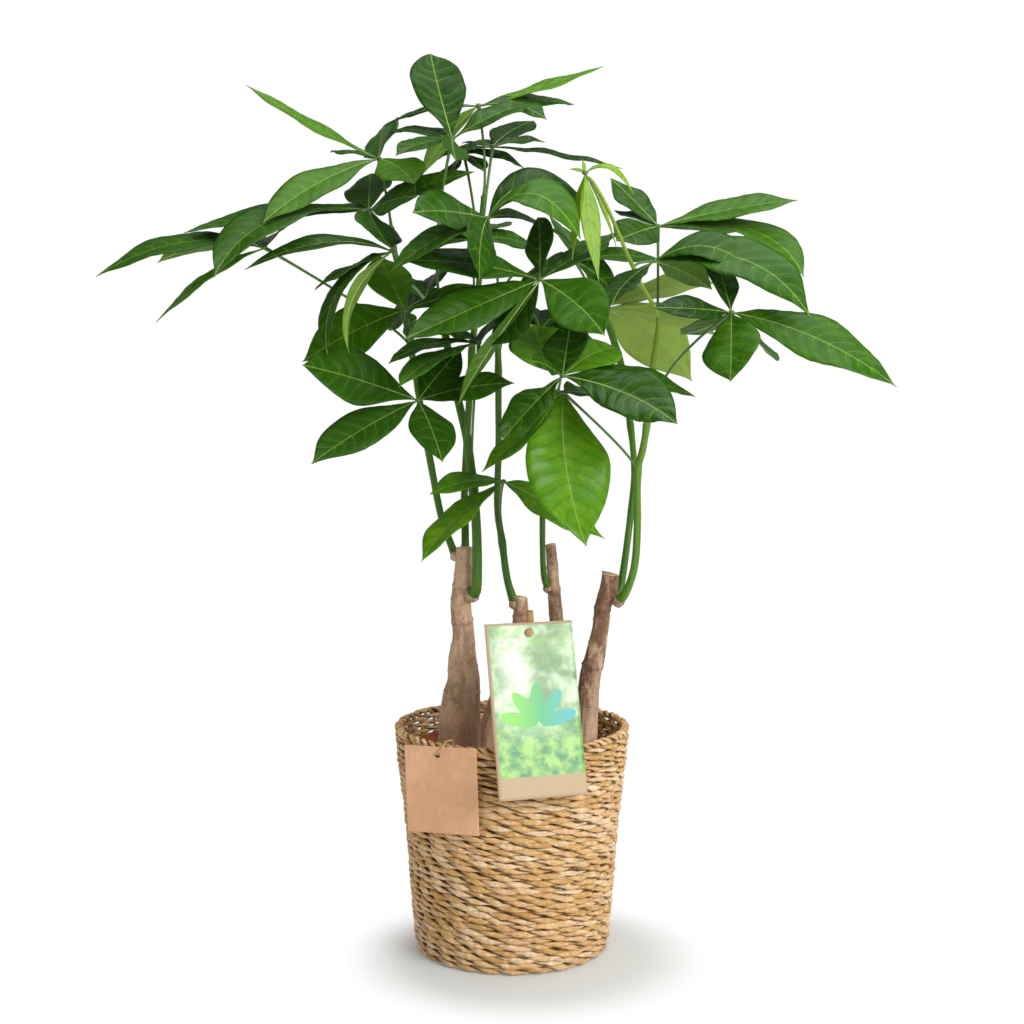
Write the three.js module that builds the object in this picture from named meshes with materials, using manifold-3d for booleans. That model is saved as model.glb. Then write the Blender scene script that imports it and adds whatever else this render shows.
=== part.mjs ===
// A potted money tree: four cut trunks with green stems and palmate leaves,
// in a nursery pot of soil that stands inside a woven basket, with a picture card and a paper tag.
// Millimetres, +Z up. The origin is the centre of the basket's underside; the front is -Y.

import * as THREE from "three";
import { ParametricGeometry } from "three/addons/geometries/ParametricGeometry.js";
import { mergeVertices } from "three/addons/utils/BufferGeometryUtils.js";
import Module from "manifold-3d";

const wasm = await Module();
wasm.setup();

// ---------------------------------------------------------------- driving dimensions

const GAP = 0.3; // clearance between pieces that touch

const BASKET = { height: 186, rimRadius: 96.5, wall: 6, floor: 6, footRadius: 74 };
// The basket's side from its foot to just under its rim, as [outer radius, height].
const BASKET_SIDE = [[80.5, 10], [83.2, 40], [86, 80], [88.5, 110], [93.3, 150], [95.7, 174]];
const POT = { baseRadius: 60, topRadius: 79, lipRadius: 83.5, lipLow: 157, height: 166, wall: 2 };
const DRAIN = { count: 5, radius: 5, circle: 36 };
const SOIL = { edge: 148, crown: 153 };
const TRUNK_FOOT = 105; // how low the trunks and the stick reach in the soil

const LEAF = { thickness: 1.0, fold: 0.16, hubRadius: 2.6, petioleRadius: 1.1, sides: 5 };
const BLADE_STEPS = [0, 0.12, 0.42, 0.72, 1]; // share of the midrib's length
const BLADE_WIDTHS = [0, 0.14, 0.96, 0.84, 0]; // share of the blade's full width
const SKY = new THREE.Vector3(0, -0.25, 1).normalize(); // blades turn up and a little to the front

const CARD = { width: 71, height: 134.5, thick: 1.8, yaw: 18, lean: 16 };
const CARD_REST = new THREE.Vector3(29.9, -91.7, 181.1); // where the card's back meets the rim
const CARD_SHIFT = { left: 45, down: 33.3 }; // from that point to the card's lower left corner
const PEG = { radius: 3.2, left: 35.2, up: 126.5, front: 4, back: 2.2 };
const STICK = { radius: 3, top: [13.9, -64.7, 287], foot: [16, -53, 95] };
const TAG = { width: 61, height: 68, thick: 0.8, yaw: -22, roll: 2, hole: 2.4 };
const TAG_CORNER = new THREE.Vector3(-81.4, -72.4, 115); // lower left corner, on the back face
const TAG_HOLE = { right: 28, up: 61 };
const TWINE_RADIUS = 0.7;
const TWINE_OVER = [[-53.4, -87, 183.6], [-51.2, -83.4, 187.7], [-48.5, -78.8, 187.5],
  [-46.4, -75.2, 187], [-45.3, -73.4, 181]]; // from the front of the tag, over the rim, to the inside

// A trunk is a list of [x, y, z, radius] from its cut top down, and knots where stems grow out.
const TRUNKS = {
  trunk_large: {
    line: [[-38, -15, 331, 6], [-39, -15, 309, 7.4], [-41, -15, 285, 8], [-39, -15, 259, 8.9],
      [-40, -15, 239, 11.5], [-39, -15, 223, 13], [-41, -15, 207, 15.5], [-43, -15, 174, 17],
      [-43, -15, 150, 17], [-42, -14, TRUNK_FOOT, 11]],
    knots: [[-32, -22, 293, 6.4], [-45, -10, 323, 5], [-38, -8, 325, 5.5]],
  },
  trunk_short: {
    line: [[7, 20, 286, 5.6], [7, 20, 267, 6.2], [0, 20, 233, 7], [-12, 20, 195, 8.5],
      [-20, 20, 162, 10], [-22, 20, TRUNK_FOOT, 7]],
    knots: [[2, 20, 280, 5]],
  },
  trunk_thin: {
    line: [[32, 35, 328, 4], [34, 35, 302, 4.6], [37, 34, 264, 5.8], [40, 32, 214, 7],
      [42, 30, 168, 8.2], [43, 30, TRUNK_FOOT, 6]],
    knots: [[30, 33, 291, 4.6]],
  },
  trunk_right: {
    line: [[80, 0, 308, 6.6], [78, 0, 293, 7.4], [74, 0, 280, 6.4], [72, 0, 263, 6.8],
      [68, 0, 241, 7.8], [64, 0, 224, 8.4], [62, 0, 204, 8.8], [60, 0, 170, 9],
      [57, 0, 140, 8.5], [55, 0, TRUNK_FOOT, 7]],
    knots: [[85, 4, 288, 5.4], [86, -6, 286, 5.6]],
  },
};

// A stem starts at the middle of a knot on its trunk, or inside the stem that carries it,
// and thins towards its tip.
const STEMS = {
  stem_left: {
    on: "trunk_large", radii: [3.1, 2.2],
    line: [[-45, -10, 323], [-49, -3, 331], [-58, 6, 356], [-67, 10, 402], [-72, 10, 427],
      [-76, 12, 456], [-82, 14, 490], [-87, 18, 517], [-92, 22, 553], [-96, 24, 571], [-98, 28, 587]],
  },
  stem_back: {
    on: "trunk_large", radii: [3.2, 2.2],
    line: [[-38, -8, 325], [-38, 9, 336], [-39, 24, 374], [-37, 26, 415], [-35, 26, 448],
      [-33, 28, 487], [-29, 34, 521], [-26, 40, 560], [-25, 44, 593], [-23, 46, 614]],
  },
  stem_front: {
    on: "trunk_large", radii: [4.2, 2.8],
    line: [[-32, -22, 293], [-28, -28, 303], [-28, -30, 345], [-31, -27, 382], [-36, -22, 420],
      [-42, -16, 445], [-48, -10, 472], [-53, -6, 500], [-57, -4, 523]],
  },
  stem_middle: {
    on: "trunk_short", radii: [3.0, 2.4],
    line: [[2, 20, 280], [-4, 20, 301], [-8, 18, 331], [-12, 16, 362], [-11, 14, 406],
      [-11, 12, 442], [-11, 10, 471], [-11, 8, 504], [-7, 4, 531]],
  },
  stem_thin: {
    on: "trunk_thin", radii: [2.6, 2.2],
    line: [[30, 33, 291], [26, 26, 307], [25, 16, 353], [27, 4, 400], [33, -18, 437], [36, -38, 456]],
  },
  stem_right_back: {
    on: "trunk_right", radii: [3.2, 2.2],
    line: [[85, 4, 288], [89, 9, 297], [94, 14, 329], [99, 18, 371], [100, 20, 393],
      [97, 24, 426], [90, 34, 476], [82, 42, 503], [75, 48, 521]],
  },
  stem_right_front: {
    on: "trunk_right", radii: [3.3, 2.4],
    line: [[86, -6, 286], [92, -13, 295], [98, -20, 317], [100, -20, 349], [100, -18, 391],
      [104, -17, 409], [107, -16, 428], [112, -12, 475], [115, -10, 495], [117, -10, 515]],
  },
  young_shoot: {
    on: "stem_right_front", radii: [1.8, 1.3],
    line: [[117, -10, 513], [111, -15, 525], [101, -21, 541], [96, -25, 551], [90, -31, 562],
      [84, -38, 575], [73, -46, 598], [63, -50, 615], [58, -50, 620]],
  },
};

// A leaf: the stem, the stem point where its stalk starts, how far the stalk follows the stem,
// the hub, and for each leaflet its tip, the bow of its midrib's middle, its width and its turn
// to the front in degrees.
const LEAVES = {
  leaf_01: {
    on: "stem_left", at: 6, follow: 0.1, hub: [-196, -10, 569],
    leaflets: [
      [[-323, -40, 545], [0, 0, 15], 42, 8], [[-292, 45, 560], [0, 1, 10], 40, -22],
      [[-237, 85, 584], [1, 0, 4], 34, -12], [[-194, 90, 590], [1, -1, 3], 34, -34],
      [[-280, -25, 510], [0, 0, 7], 34, -4],
    ],
  },
  leaf_02: {
    on: "stem_left", at: 9, follow: 0.4, hub: [-115, 10, 600],
    leaflets: [
      [[-258, -20, 580], [-1, 0, 4], 50, 6], [[-221, -100, 542], [-17, 6, 18], 52, 2],
      [[-122, 120, 640], [0, -1, 1], 42, 18], [[-30, 25, 632], [0, 0, 3], 38, 10],
      [[-73, -45, 606], [1, 2, 3], 36, 40], [[-151, 90, 610], [0, 0, 2], 26, 0],
      [[-94, -45, 567], [-2, -1, 1], 42, -26],
    ],
  },
  leaf_03: {
    on: "stem_left", at: 10, follow: 0.4, hub: [-109, 40, 644],
    leaflets: [
      [[-219, 60, 706], [1, 0, -4], 34, -4], [[-191, -55, 585], [-4, 1, 5], 40, 12],
      [[-111, 130, 682], [0, 0, 1], 44, 44], [[-156, 110, 657], [1, 0, 2], 26, 0],
      [[-76, -30, 617], [3, 0, 2], 40, 14],
    ],
  },
  leaf_04: {
    on: "stem_front", at: 8, follow: 0.4, hub: [-47, -10, 654],
    leaflets: [
      [[-66, 35, 727], [-1, -2, 1], 45, -2], [[14, 20, 684], [3, -11, 4], 34, 8],
      [[-89, -55, 636], [0, -1, 3], 32, 2], [[-98, 50, 668], [-1, -2, 3], 28, 6],
      [[-42, -75, 630], [-1, -1, 2], 28, -38],
    ],
  },
  leaf_05: {
    on: "stem_back", at: 9, follow: 0.4, hub: [-27, 30, 685],
    leaflets: [
      [[-78, 40, 624], [-1, 0, 6], 34, -30], [[-105, 75, 674], [-5, -8, 4], 28, 12],
      [[28, 15, 672], [2, 0, 6], 34, 12], [[75, 60, 721], [-1, 0, -2], 30, 2],
      [[52, 75, 692], [3, -5, 3], 34, 12],
    ],
  },
  leaf_06: {
    on: "stem_back", at: 7, follow: 0.4, hub: [-16, 60, 656],
    leaflets: [
      [[19, 130, 686], [-2, 0, 2], 36, 0], [[28, 75, 661], [1, -3, 3], 24, 6],
      [[90, 40, 636], [-4, 0, 3], 24, 0], [[-69, 75, 645], [-1, 0, 3], 26, 6],
      [[-39, 130, 667], [0, 0, 2], 26, 2],
    ],
  },
  leaf_07: {
    on: "stem_back", at: 6, follow: 0.4, hub: [-41, 92, 654],
    leaflets: [
      [[11, 100, 642], [0, 0, 5], 24, 10], [[-23, 55, 635], [0, -1, 2], 24, -14],
      [[-70, 60, 611], [1, -2, 1], 30, -24], [[-59, 160, 662], [1, 0, 2], 26, 6],
    ],
  },
  leaf_08: {
    on: "stem_middle", at: 7, follow: 0.4, hub: [-19, -50, 589],
    leaflets: [
      [[-24, -105, 540], [-2, -4, 5], 38, 58], [[-91, -85, 547], [0, -6, 5], 42, 0],
      [[-74, -95, 590], [-1, 1, 3], 44, 34], [[52, -80, 571], [1, 0, 26], 46, 14],
      [[70, -25, 586], [-6, 0, 29], 46, 20], [[54, 10, 568], [-3, 18, 13], 34, 10],
    ],
  },
  leaf_09: {
    on: "stem_middle", at: 8, follow: 0.4, hub: [21, -60, 542],
    leaflets: [
      [[20, -25, 592], [1, -6, 4], 28, 42], [[-81, -75, 555], [-1, 0, 5], 44, 18],
      [[-80, -110, 496], [1, -3, 1], 50, 18], [[-19, -60, 491], [2, 0, -3], 36, 22],
      [[-42, -60, 446], [-8, 0, -7], 28, -44], [[69, -100, 499], [3, 0, 3], 46, 36],
      [[78, -5, 575], [2, -4, 3], 32, -4],
    ],
  },
  leaf_10: {
    on: "stem_front", at: 3, follow: 0.25, hub: [-26, -30, 494],
    leaflets: [
      [[-95, -60, 478], [-3, 4, 7], 34, -2], [[-84, -100, 461], [-6, 3, 4], 36, -10],
      [[-64, -25, 504], [0, 0, 3], 32, 2], [[-18, 10, 511], [1, 0, 0], 32, -42],
    ],
  },
  leaf_11: {
    on: "stem_left", at: 4, follow: 0.4, hub: [-74, -30, 449],
    leaflets: [
      [[-160, -70, 477], [-5, 10, 3], 50, 46], [[-151, -95, 403], [-2, 1, 2], 46, 12],
      [[-53, -75, 403], [1, -2, 2], 38, -8], [[2, -50, 463], [0, 0, 3], 32, 28],
      [[-40, -15, 490], [0, 0, 1], 38, 18],
    ],
  },
  leaf_12: {
    on: "stem_left", at: 5, follow: 0.4, hub: [-85, -10, 520],
    leaflets: [
      [[-167, -10, 479], [1, 0, 4], 52, 36], [[-106, 10, 564], [-1, -4, 1], 42, 0],
      [[-17, -25, 535], [1, 0, 3], 32, 20], [[-80, 0, 494], [1, 1, 0], 30, 50],
    ],
  },
  leaf_13: {
    on: "stem_left", at: 8, follow: 0.4, hub: [-93, -40, 565],
    leaflets: [
      [[-139, -85, 485], [-17, 2, 9], 28, -24], [[-125, -65, 486], [-14, 0, 2], 26, -68],
      [[-151, -60, 534], [-8, 0, -1], 26, -10], [[-138, -10, 545], [-3, -5, 0], 24, 16],
      [[-203, -70, 549], [3, 0, 13], 32, 6],
    ],
  },
  leaf_14: {
    on: "stem_right_front", at: 6, follow: 0.4, hub: [168, -60, 517],
    leaflets: [
      [[160, -20, 562], [-1, -3, 3], 30, -24], [[106, -85, 520], [1, -2, 1], 34, 20],
      [[162, -108, 465], [0, -1, 1], 47, -26], [[287, -100, 461], [3, 0, 8], 52, 22],
      [[210, -15, 480], [4, -10, -6], 22, 10], [[136, 10, 501], [0, -1, -3], 28, -14],
    ],
  },
  leaf_15: {
    on: "stem_right_front", at: 8, follow: 0.1, hub: [118, 20, 588],
    leaflets: [
      [[81, 55, 630], [1, 1, 0], 32, 2], [[84, 50, 603], [-1, -2, 1], 24, -4],
      [[227, 0, 607], [2, 0, 3], 42, 14], [[224, -55, 544], [20, 16, 17], 42, 4],
      [[195, 100, 589], [0, 0, 0], 34, 8], [[81, -30, 573], [0, 0, 1], 38, 24],
    ],
  },
  leaf_16: {
    on: "young_shoot", at: 3, follow: 0.4, hub: [112, -20, 558],
    leaflets: [
      [[186, -55, 547], [2, 0, 16], 40, 20], [[224, -90, 512], [11, 2, 22], 52, 20],
      [[159, -10, 536], [-1, 0, 4], 42, -36], [[75, -95, 522], [-6, 3, 0], 28, -10],
    ],
  },
  leaf_17: {
    on: "stem_right_back", at: 7, follow: 0.4, hub: [74, 60, 523],
    leaflets: [
      [[173, 90, 545], [1, 0, 5], 36, -46], [[156, 110, 461], [2, 11, 11], 52, -72],
      [[172, 60, 500], [5, 0, 5], 32, -42], [[38, 110, 514], [0, 0, 2], 34, 22],
    ],
  },
  leaf_18: {
    on: "stem_thin", at: 5, follow: 0.4, hub: [38, -90, 469],
    leaflets: [
      [[120, -140, 435], [4, 3, 5], 46, 30], [[140, -70, 453], [4, 0, 6], 42, 10],
      [[-7, -120, 422], [-2, 3, 0], 38, 2], [[45, -60, 510], [0, -2, 1], 38, -20],
      [[15, -125, 480], [-2, 2, 3], 20, 40], [[18, -30, 508], [-5, 4, 2], 50, 10],
      [[82, -55, 490], [1, -4, 6], 44, 14],
    ],
  },
  leaf_19: {
    on: "stem_right_front", at: 4, follow: 0.1, hub: [39, -68, 456],
    leaflets: [
      [[55, -125, 344], [-6, 1, -1], 67, -8], [[-23, -95, 397], [0, 3, -2], 36, -8],
      [[68, -10, 452], [0, 0, 2], 28, 20],
    ],
  },
  leaf_20: {
    on: "stem_middle", at: 2, follow: 0.4, hub: [-7, -30, 385],
    leaflets: [
      [[-64, -60, 377], [0, -1, 5], 27, 12], [[-69, -85, 328], [-5, 3, 2], 38, -12],
      [[74, -25, 339], [-7, 0, 6], 42, 18],
    ],
  },
  leaf_21: {
    on: "stem_back", at: 5, follow: 0.4, hub: [-37, 140, 584],
    leaflets: [
      [[-101, 190, 568], [2, 5, 8], 44, 20], [[-67, 235, 613], [0, -1, 4], 44, -16],
      [[-11, 245, 605], [0, -1, 4], 46, -4], [[30, 205, 577], [0, 1, 7], 44, 18],
      [[-29, 175, 546], [-2, 1, 1], 38, 60],
    ],
  },
  leaf_22: {
    on: "stem_right_back", at: 5, follow: 0.4, hub: [56, 150, 566],
    leaflets: [
      [[3, 190, 542], [0, 5, 7], 44, 22], [[45, 245, 605], [1, -2, 4], 46, -40],
      [[92, 250, 596], [-1, -1, 4], 46, -16], [[144, 215, 569], [-2, 3, 6], 44, 8],
      [[97, 175, 533], [0, 7, 5], 38, 48],
    ],
  },
  leaf_23: {
    on: "stem_left", at: 7, follow: 0.4, hub: [-76, 130, 532],
    leaflets: [
      [[-115, 185, 506], [0, 2, 5], 42, 52], [[-112, 215, 557], [1, 0, 3], 42, -12],
      [[-67, 235, 562], [-1, -1, 4], 44, -34], [[-29, 205, 529], [-1, 1, 2], 42, 18],
    ],
  },
  leaf_24: {
    on: "stem_middle", at: 6, follow: 0.4, hub: [25, 135, 506],
    leaflets: [
      [[-15, 180, 502], [1, 1, 4], 42, 18], [[12, 225, 534], [0, -1, 4], 44, -36],
      [[59, 230, 530], [0, -1, 5], 44, -14], [[81, 200, 493], [-1, 1, 3], 42, 24],
    ],
  },
  young_leaves: {
    on: "young_shoot", at: 8, follow: 0, hub: [56, -50, 623.5],
    leaflets: [
      [[67, -57, 538], [-1, 0, 3], 16, 0], [[46, -51, 556], [-1, 0, 2], 12, -28],
      [[82, -24, 568], [1, 0, 4], 14, 36], [[93, -58, 606], [1, 0, 12], 12, 6],
      [[44, -44, 627], [0, -1, 1], 5, 14], [[54, -54, 633], [0, 1, 0], 5, 70],
    ],
  },
};

// ---------------------------------------------------------------- colours

const COLOURS = {
  seagrass: [0xcda573, 0.8],
  terracotta: [0xb3653f, 0.6],
  soil: [0x3a2a1e, 0.95],
  bark: [0x8c6e5a, 0.9],
  stem: [0x4b8232, 0.5],
  youngStem: [0x9bb84a, 0.5],
  leaf: [0x376e26, 0.4],
  youngLeaf: [0x84a838, 0.4],
  card: [0xdfe8d0, 0.45],
  kraft: [0xcda07d, 0.9],
  wood: [0xb98d5c, 0.7],
};

function paint(name) {
  const [color, roughness] = COLOURS[name];
  return new THREE.MeshStandardMaterial({ color, roughness, metalness: 0 });
}

// ---------------------------------------------------------------- solids

const vec = (point) => new THREE.Vector3(...point);

// Turns a closed three.js geometry into a solid, leaving out triangles that have shrunk to a line.
function solid(geometry) {
  geometry.deleteAttribute("normal");
  geometry.deleteAttribute("uv");
  const merged = mergeVertices(geometry, 1e-3);
  const index = merged.getIndex().array;
  const kept = [];
  for (let i = 0; i < index.length; i += 3) {
    const [a, b, c] = index.slice(i, i + 3);
    if (a !== b && b !== c && c !== a) kept.push(a, b, c);
  }
  const vertProperties = new Float32Array(merged.getAttribute("position").array);
  const made = (triVerts) =>
    new wasm.Manifold(new wasm.Mesh({ numProp: 3, vertProperties, triVerts }));
  const body = made(new Uint32Array(kept));
  return body.volume() > 0 ? body : made(new Uint32Array(kept.reverse()));
}

function toGeometry(body) {
  const mesh = body.getMesh();
  const geometry = new THREE.BufferGeometry();
  geometry.setAttribute("position", new THREE.BufferAttribute(new Float32Array(mesh.vertProperties), 3));
  geometry.setIndex(new THREE.BufferAttribute(new Uint32Array(mesh.triVerts), 1));
  return geometry;
}

function moved(geometry, matrix) {
  return solid(geometry.applyMatrix4(matrix));
}

function lathe(profile, segments) {
  const points = profile.map(([radius, height]) => new THREE.Vector2(radius, height));
  return solid(new THREE.LatheGeometry(points, segments).rotateX(Math.PI / 2));
}

// A limb whose thickness changes: rings along a smooth line, closed by a flat cap at each end.
// It can be grown on every side, to cut the room it needs out of a neighbour.
function limb(line, radii, sides, steps, grow = 0) {
  const curve = new THREE.CatmullRomCurve3(line.map((point) => vec(point.slice(0, 3))));
  const frames = curve.computeFrenetFrames(steps);
  const ring = (u, v, target) => {
    const row = Math.round(v * (steps + 2));
    const step = Math.min(Math.max(row - 1, 0), steps);
    const radius = row === 0 || row === steps + 2 ? 0 : radii(step / steps) + grow;
    const angle = u * 2 * Math.PI;
    const ahead = grow * ((step === steps) - (step === 0));
    target.copy(curve.getPointAt(step / steps)).addScaledVector(frames.tangents[step], ahead);
    target.addScaledVector(frames.normals[step], Math.cos(angle) * radius);
    target.addScaledVector(frames.binormals[step], Math.sin(angle) * radius);
  };
  return solid(new ParametricGeometry(ring, sides, steps + 2));
}

// Reads a value from an evenly shared list, with straight lines between its entries.
function along(values, share) {
  const place = share * (values.length - 1);
  const low = Math.min(Math.floor(place), values.length - 2);
  return THREE.MathUtils.lerp(values[low], values[low + 1], place - low);
}

// A thin round tube of one thickness along a curve.
function tube(curve, radius, sides, steps) {
  const corner = (i) => {
    const angle = (i / sides) * 2 * Math.PI;
    return new THREE.Vector2(Math.cos(angle) * radius, Math.sin(angle) * radius);
  };
  const section = new THREE.Shape(Array.from({ length: sides }, (_, i) => corner(i)));
  return solid(new THREE.ExtrudeGeometry(section, { extrudePath: curve, steps }));
}

function ball([x, y, z, radius], detail = 1) {
  return solid(new THREE.IcosahedronGeometry(radius, detail).translate(x, y, z));
}

// ---------------------------------------------------------------- basket, pot and soil

function basket() {
  const { height, rimRadius, wall, floor, footRadius } = BASKET;
  const rimMiddle = height - 5;
  const outside = [
    [footRadius, 0], [footRadius + 5, 3], ...BASKET_SIDE, [rimRadius, rimMiddle], [rimRadius - 2, height],
  ];
  const lining = BASKET_SIDE.map(([radius, level]) => [radius - wall, level]).reverse();
  const inside = [
    [rimRadius - 6.5, height], [rimRadius - 7.3, rimMiddle], ...lining, [footRadius - wall, floor],
  ];
  return lathe([[0, 0], ...outside, ...inside, [0, floor]], 30);
}

function nurseryPot() {
  const { baseRadius, topRadius, lipRadius, lipLow, height, wall } = POT;
  const base = BASKET.floor + GAP;
  const pot = lathe([
    [0, base], [baseRadius, base], [topRadius, lipLow], [lipRadius, lipLow + 1],
    [lipRadius, height], [lipRadius - wall, height], [lipRadius - wall - 1, lipLow + 2],
    [topRadius - wall, lipLow - 1], [baseRadius - wall, base + wall], [0, base + wall],
  ], 28);
  let cut = pot;
  for (let i = 0; i < DRAIN.count; i += 1) {
    const angle = (i / DRAIN.count) * 2 * Math.PI;
    const place = new THREE.Matrix4().makeTranslation(
      Math.cos(angle) * DRAIN.circle, Math.sin(angle) * DRAIN.circle, base + wall / 2);
    const hole = new THREE.CylinderGeometry(DRAIN.radius, DRAIN.radius, wall * 3, 10);
    cut = cut.subtract(moved(hole.rotateX(Math.PI / 2), place));
  }
  return cut;
}

function pottingSoil(planted) {
  const base = BASKET.floor + GAP + POT.wall + GAP;
  const slope = (POT.topRadius - POT.baseRadius) / (POT.lipLow - 1 - base);
  const inner = (z) => POT.baseRadius - POT.wall + (z - base) * slope - 2 * GAP;
  const soil = lathe([
    [0, base], [inner(base), base], [inner(SOIL.edge), SOIL.edge],
    [inner(SOIL.edge) * 0.8, SOIL.edge + 2], [inner(SOIL.edge) * 0.4, SOIL.crown - 0.6],
    [0, SOIL.crown],
  ], 28);
  return planted.reduce((left, piece) => left.subtract(piece), soil);
}

// ---------------------------------------------------------------- trunks and stems

function trunk({ line, knots }, grow = 0) {
  const radii = (share) => along(line.map((point) => point[3]), share);
  const body = limb(line, radii, 8, line.length + 1, grow);
  return knots.reduce((joined, [x, y, z, radius]) => joined.add(ball([x, y, z, radius + grow])), body);
}

function stem({ line, radii }, grow = 0) {
  return limb(line, (share) => along(radii, share), 6, line.length + 1, grow);
}

// ---------------------------------------------------------------- leaves

// The direction that a blade's upper side faces: as near to the sky as its line allows,
// turned about that line towards the front.
function facing(line, turn) {
  const up = SKY.clone().addScaledVector(line, -SKY.dot(line)).normalize();
  const side = line.clone().cross(up);
  if (side.y > 1e-6) side.negate();
  const angle = THREE.MathUtils.degToRad(turn);
  return up.multiplyScalar(Math.cos(angle)).addScaledVector(side, Math.sin(angle));
}

// A leaflet: a thin blade folded along its bowed midrib, with a pointed tip.
function leaflet(hub, [tipPlace, bow, width, turn]) {
  const tip = vec(tipPlace);
  const bend = hub.clone().add(tip).multiplyScalar(0.5).addScaledVector(vec(bow), 2);
  const midrib = new THREE.QuadraticBezierCurve3(hub, bend, tip);
  const face = facing(tip.clone().sub(hub).normalize(), turn);
  const rows = BLADE_STEPS.length - 1;
  const skin = (u, v, target) => {
    const row = Math.round(v * rows);
    const corner = Math.round(u * 4) % 4; // left edge, top of midrib, right edge, underside
    const share = BLADE_STEPS[row];
    const run = midrib.getTangent(share);
    const up = face.clone().addScaledVector(run, -face.dot(run)).normalize();
    const half = (width / 2) * BLADE_WIDTHS[row];
    const reach = [-half, 0, half, 0][corner];
    const thick = LEAF.thickness * Math.min(1, BLADE_WIDTHS[row] * 3);
    const rise = [half * LEAF.fold, 0, half * LEAF.fold, -thick][corner];
    target.copy(midrib.getPoint(share));
    target.addScaledVector(run.cross(up), reach).addScaledVector(up, rise);
  };
  return solid(new ParametricGeometry(skin, 4, rows));
}

// The stalk leaves its stem along the stem's own direction and bends towards the hub.
function stalk({ on, at, follow, hub }) {
  const { line } = STEMS[on];
  const start = vec(line[at]);
  const ahead = vec(line[Math.min(at + 1, line.length - 1)]).sub(vec(line[at - 1])).normalize();
  const bend = start.clone().addScaledVector(ahead, start.distanceTo(vec(hub)) * follow);
  const curve = new THREE.QuadraticBezierCurve3(start, bend, vec(hub));
  return tube(curve, LEAF.petioleRadius, LEAF.sides, 5);
}

function leaf(plan) {
  const hub = vec(plan.hub);
  let body = ball([...plan.hub, LEAF.hubRadius], 0);
  if (plan.follow > 0) body = body.add(stalk(plan));
  for (const row of plan.leaflets) body = body.add(leaflet(hub, row));
  return body.subtract(stem(STEMS[plan.on], GAP));
}

// ---------------------------------------------------------------- card, stick, peg, tag and twine

function plate({ width, height, thick }) {
  return new THREE.BoxGeometry(width, thick, height).translate(width / 2, -thick / 2, height / 2);
}

// The card's frame: x along its lower edge, y through its thickness, z up its side.
function cardFrame() {
  const turn = new THREE.Matrix4().makeRotationZ(THREE.MathUtils.degToRad(CARD.yaw));
  turn.multiply(new THREE.Matrix4().makeRotationX(-THREE.MathUtils.degToRad(CARD.lean)));
  const corner = new THREE.Vector3(-CARD_SHIFT.left, 0, -CARD_SHIFT.down).applyMatrix4(turn);
  return new THREE.Matrix4().makeTranslation(corner.add(CARD_REST)).multiply(turn);
}

function pegShape() {
  const length = PEG.front + PEG.back;
  const shape = new THREE.CylinderGeometry(PEG.radius, PEG.radius, length, 12);
  return shape.translate(PEG.left, (PEG.back - PEG.front) / 2, PEG.up);
}

function pictureCard() {
  const hole = new THREE.CylinderGeometry(PEG.radius + GAP, PEG.radius + GAP, CARD.thick * 3, 12);
  const sheet = moved(plate(CARD), cardFrame());
  return sheet.subtract(moved(hole.translate(PEG.left, -CARD.thick / 2, PEG.up), cardFrame()));
}

function cardStick(grow = 0) {
  const top = vec(STICK.top);
  const foot = vec(STICK.foot);
  const ahead = foot.clone().sub(top).setLength(grow);
  return tube(new THREE.LineCurve3(foot.add(ahead), top), STICK.radius + grow, 8, 1);
}

function tagFrame() {
  const turn = new THREE.Matrix4().makeRotationZ(THREE.MathUtils.degToRad(TAG.yaw));
  turn.multiply(new THREE.Matrix4().makeRotationY(-THREE.MathUtils.degToRad(TAG.roll)));
  return new THREE.Matrix4().makeTranslation(TAG_CORNER).multiply(turn);
}

function kraftTag() {
  const hole = new THREE.CylinderGeometry(TAG.hole, TAG.hole, TAG.thick * 6, 12);
  hole.translate(TAG_HOLE.right, -TAG.thick / 2, TAG_HOLE.up);
  return moved(plate(TAG), tagFrame()).subtract(moved(hole, tagFrame()));
}

// From behind the tag through its hole, up in front of it and over the rim into the basket.
function tagTwine() {
  const hole = (forward, up) => new THREE.Vector3(TAG_HOLE.right, -forward, TAG_HOLE.up + up);
  const near = [hole(-1.6, 0), hole(0.4, 0.9), hole(2.4, 2.5)].map((p) => p.applyMatrix4(tagFrame()));
  return tube(new THREE.CatmullRomCurve3([...near, ...TWINE_OVER.map(vec)]), TWINE_RADIUS, 5, 14);
}

// ---------------------------------------------------------------- the whole plant

const group = new THREE.Group();

function place(name, body, colour) {
  const mesh = new THREE.Mesh(toGeometry(body), paint(colour));
  mesh.name = name;
  group.add(mesh);
}

place("woven_basket", basket(), "seagrass");
place("nursery_pot", nurseryPot(), "terracotta");

const planted = Object.values(TRUNKS).map((plan) => trunk(plan, GAP));
place("potting_soil", pottingSoil([...planted, cardStick(GAP)]), "soil");

for (const [name, plan] of Object.entries(TRUNKS)) place(name, trunk(plan), "bark");

for (const [name, plan] of Object.entries(STEMS)) {
  const carrier = plan.on in TRUNKS ? trunk(TRUNKS[plan.on], GAP) : stem(STEMS[plan.on], GAP);
  place(name, stem(plan).subtract(carrier), name === "young_shoot" ? "youngStem" : "stem");
}

for (const [name, plan] of Object.entries(LEAVES)) {
  place(name, leaf(plan), name === "young_leaves" ? "youngLeaf" : "leaf");
}

place("picture_card", pictureCard(), "card");
place("card_stick", cardStick(), "wood");
place("card_peg", moved(pegShape(), cardFrame()), "wood");
place("kraft_tag", kraftTag(), "kraft");
place("tag_twine", tagTwine(), "kraft");

export default group;
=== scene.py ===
"""The looks of a potted money tree in a woven basket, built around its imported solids.

The tables of trunks, stems and leaves are in millimetres, as a maker would measure the plant: x to the
right, y to the back, z up, from the middle of the basket's underside. Meshes are in metres.
"""

import math
import random
from collections import namedtuple

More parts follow.
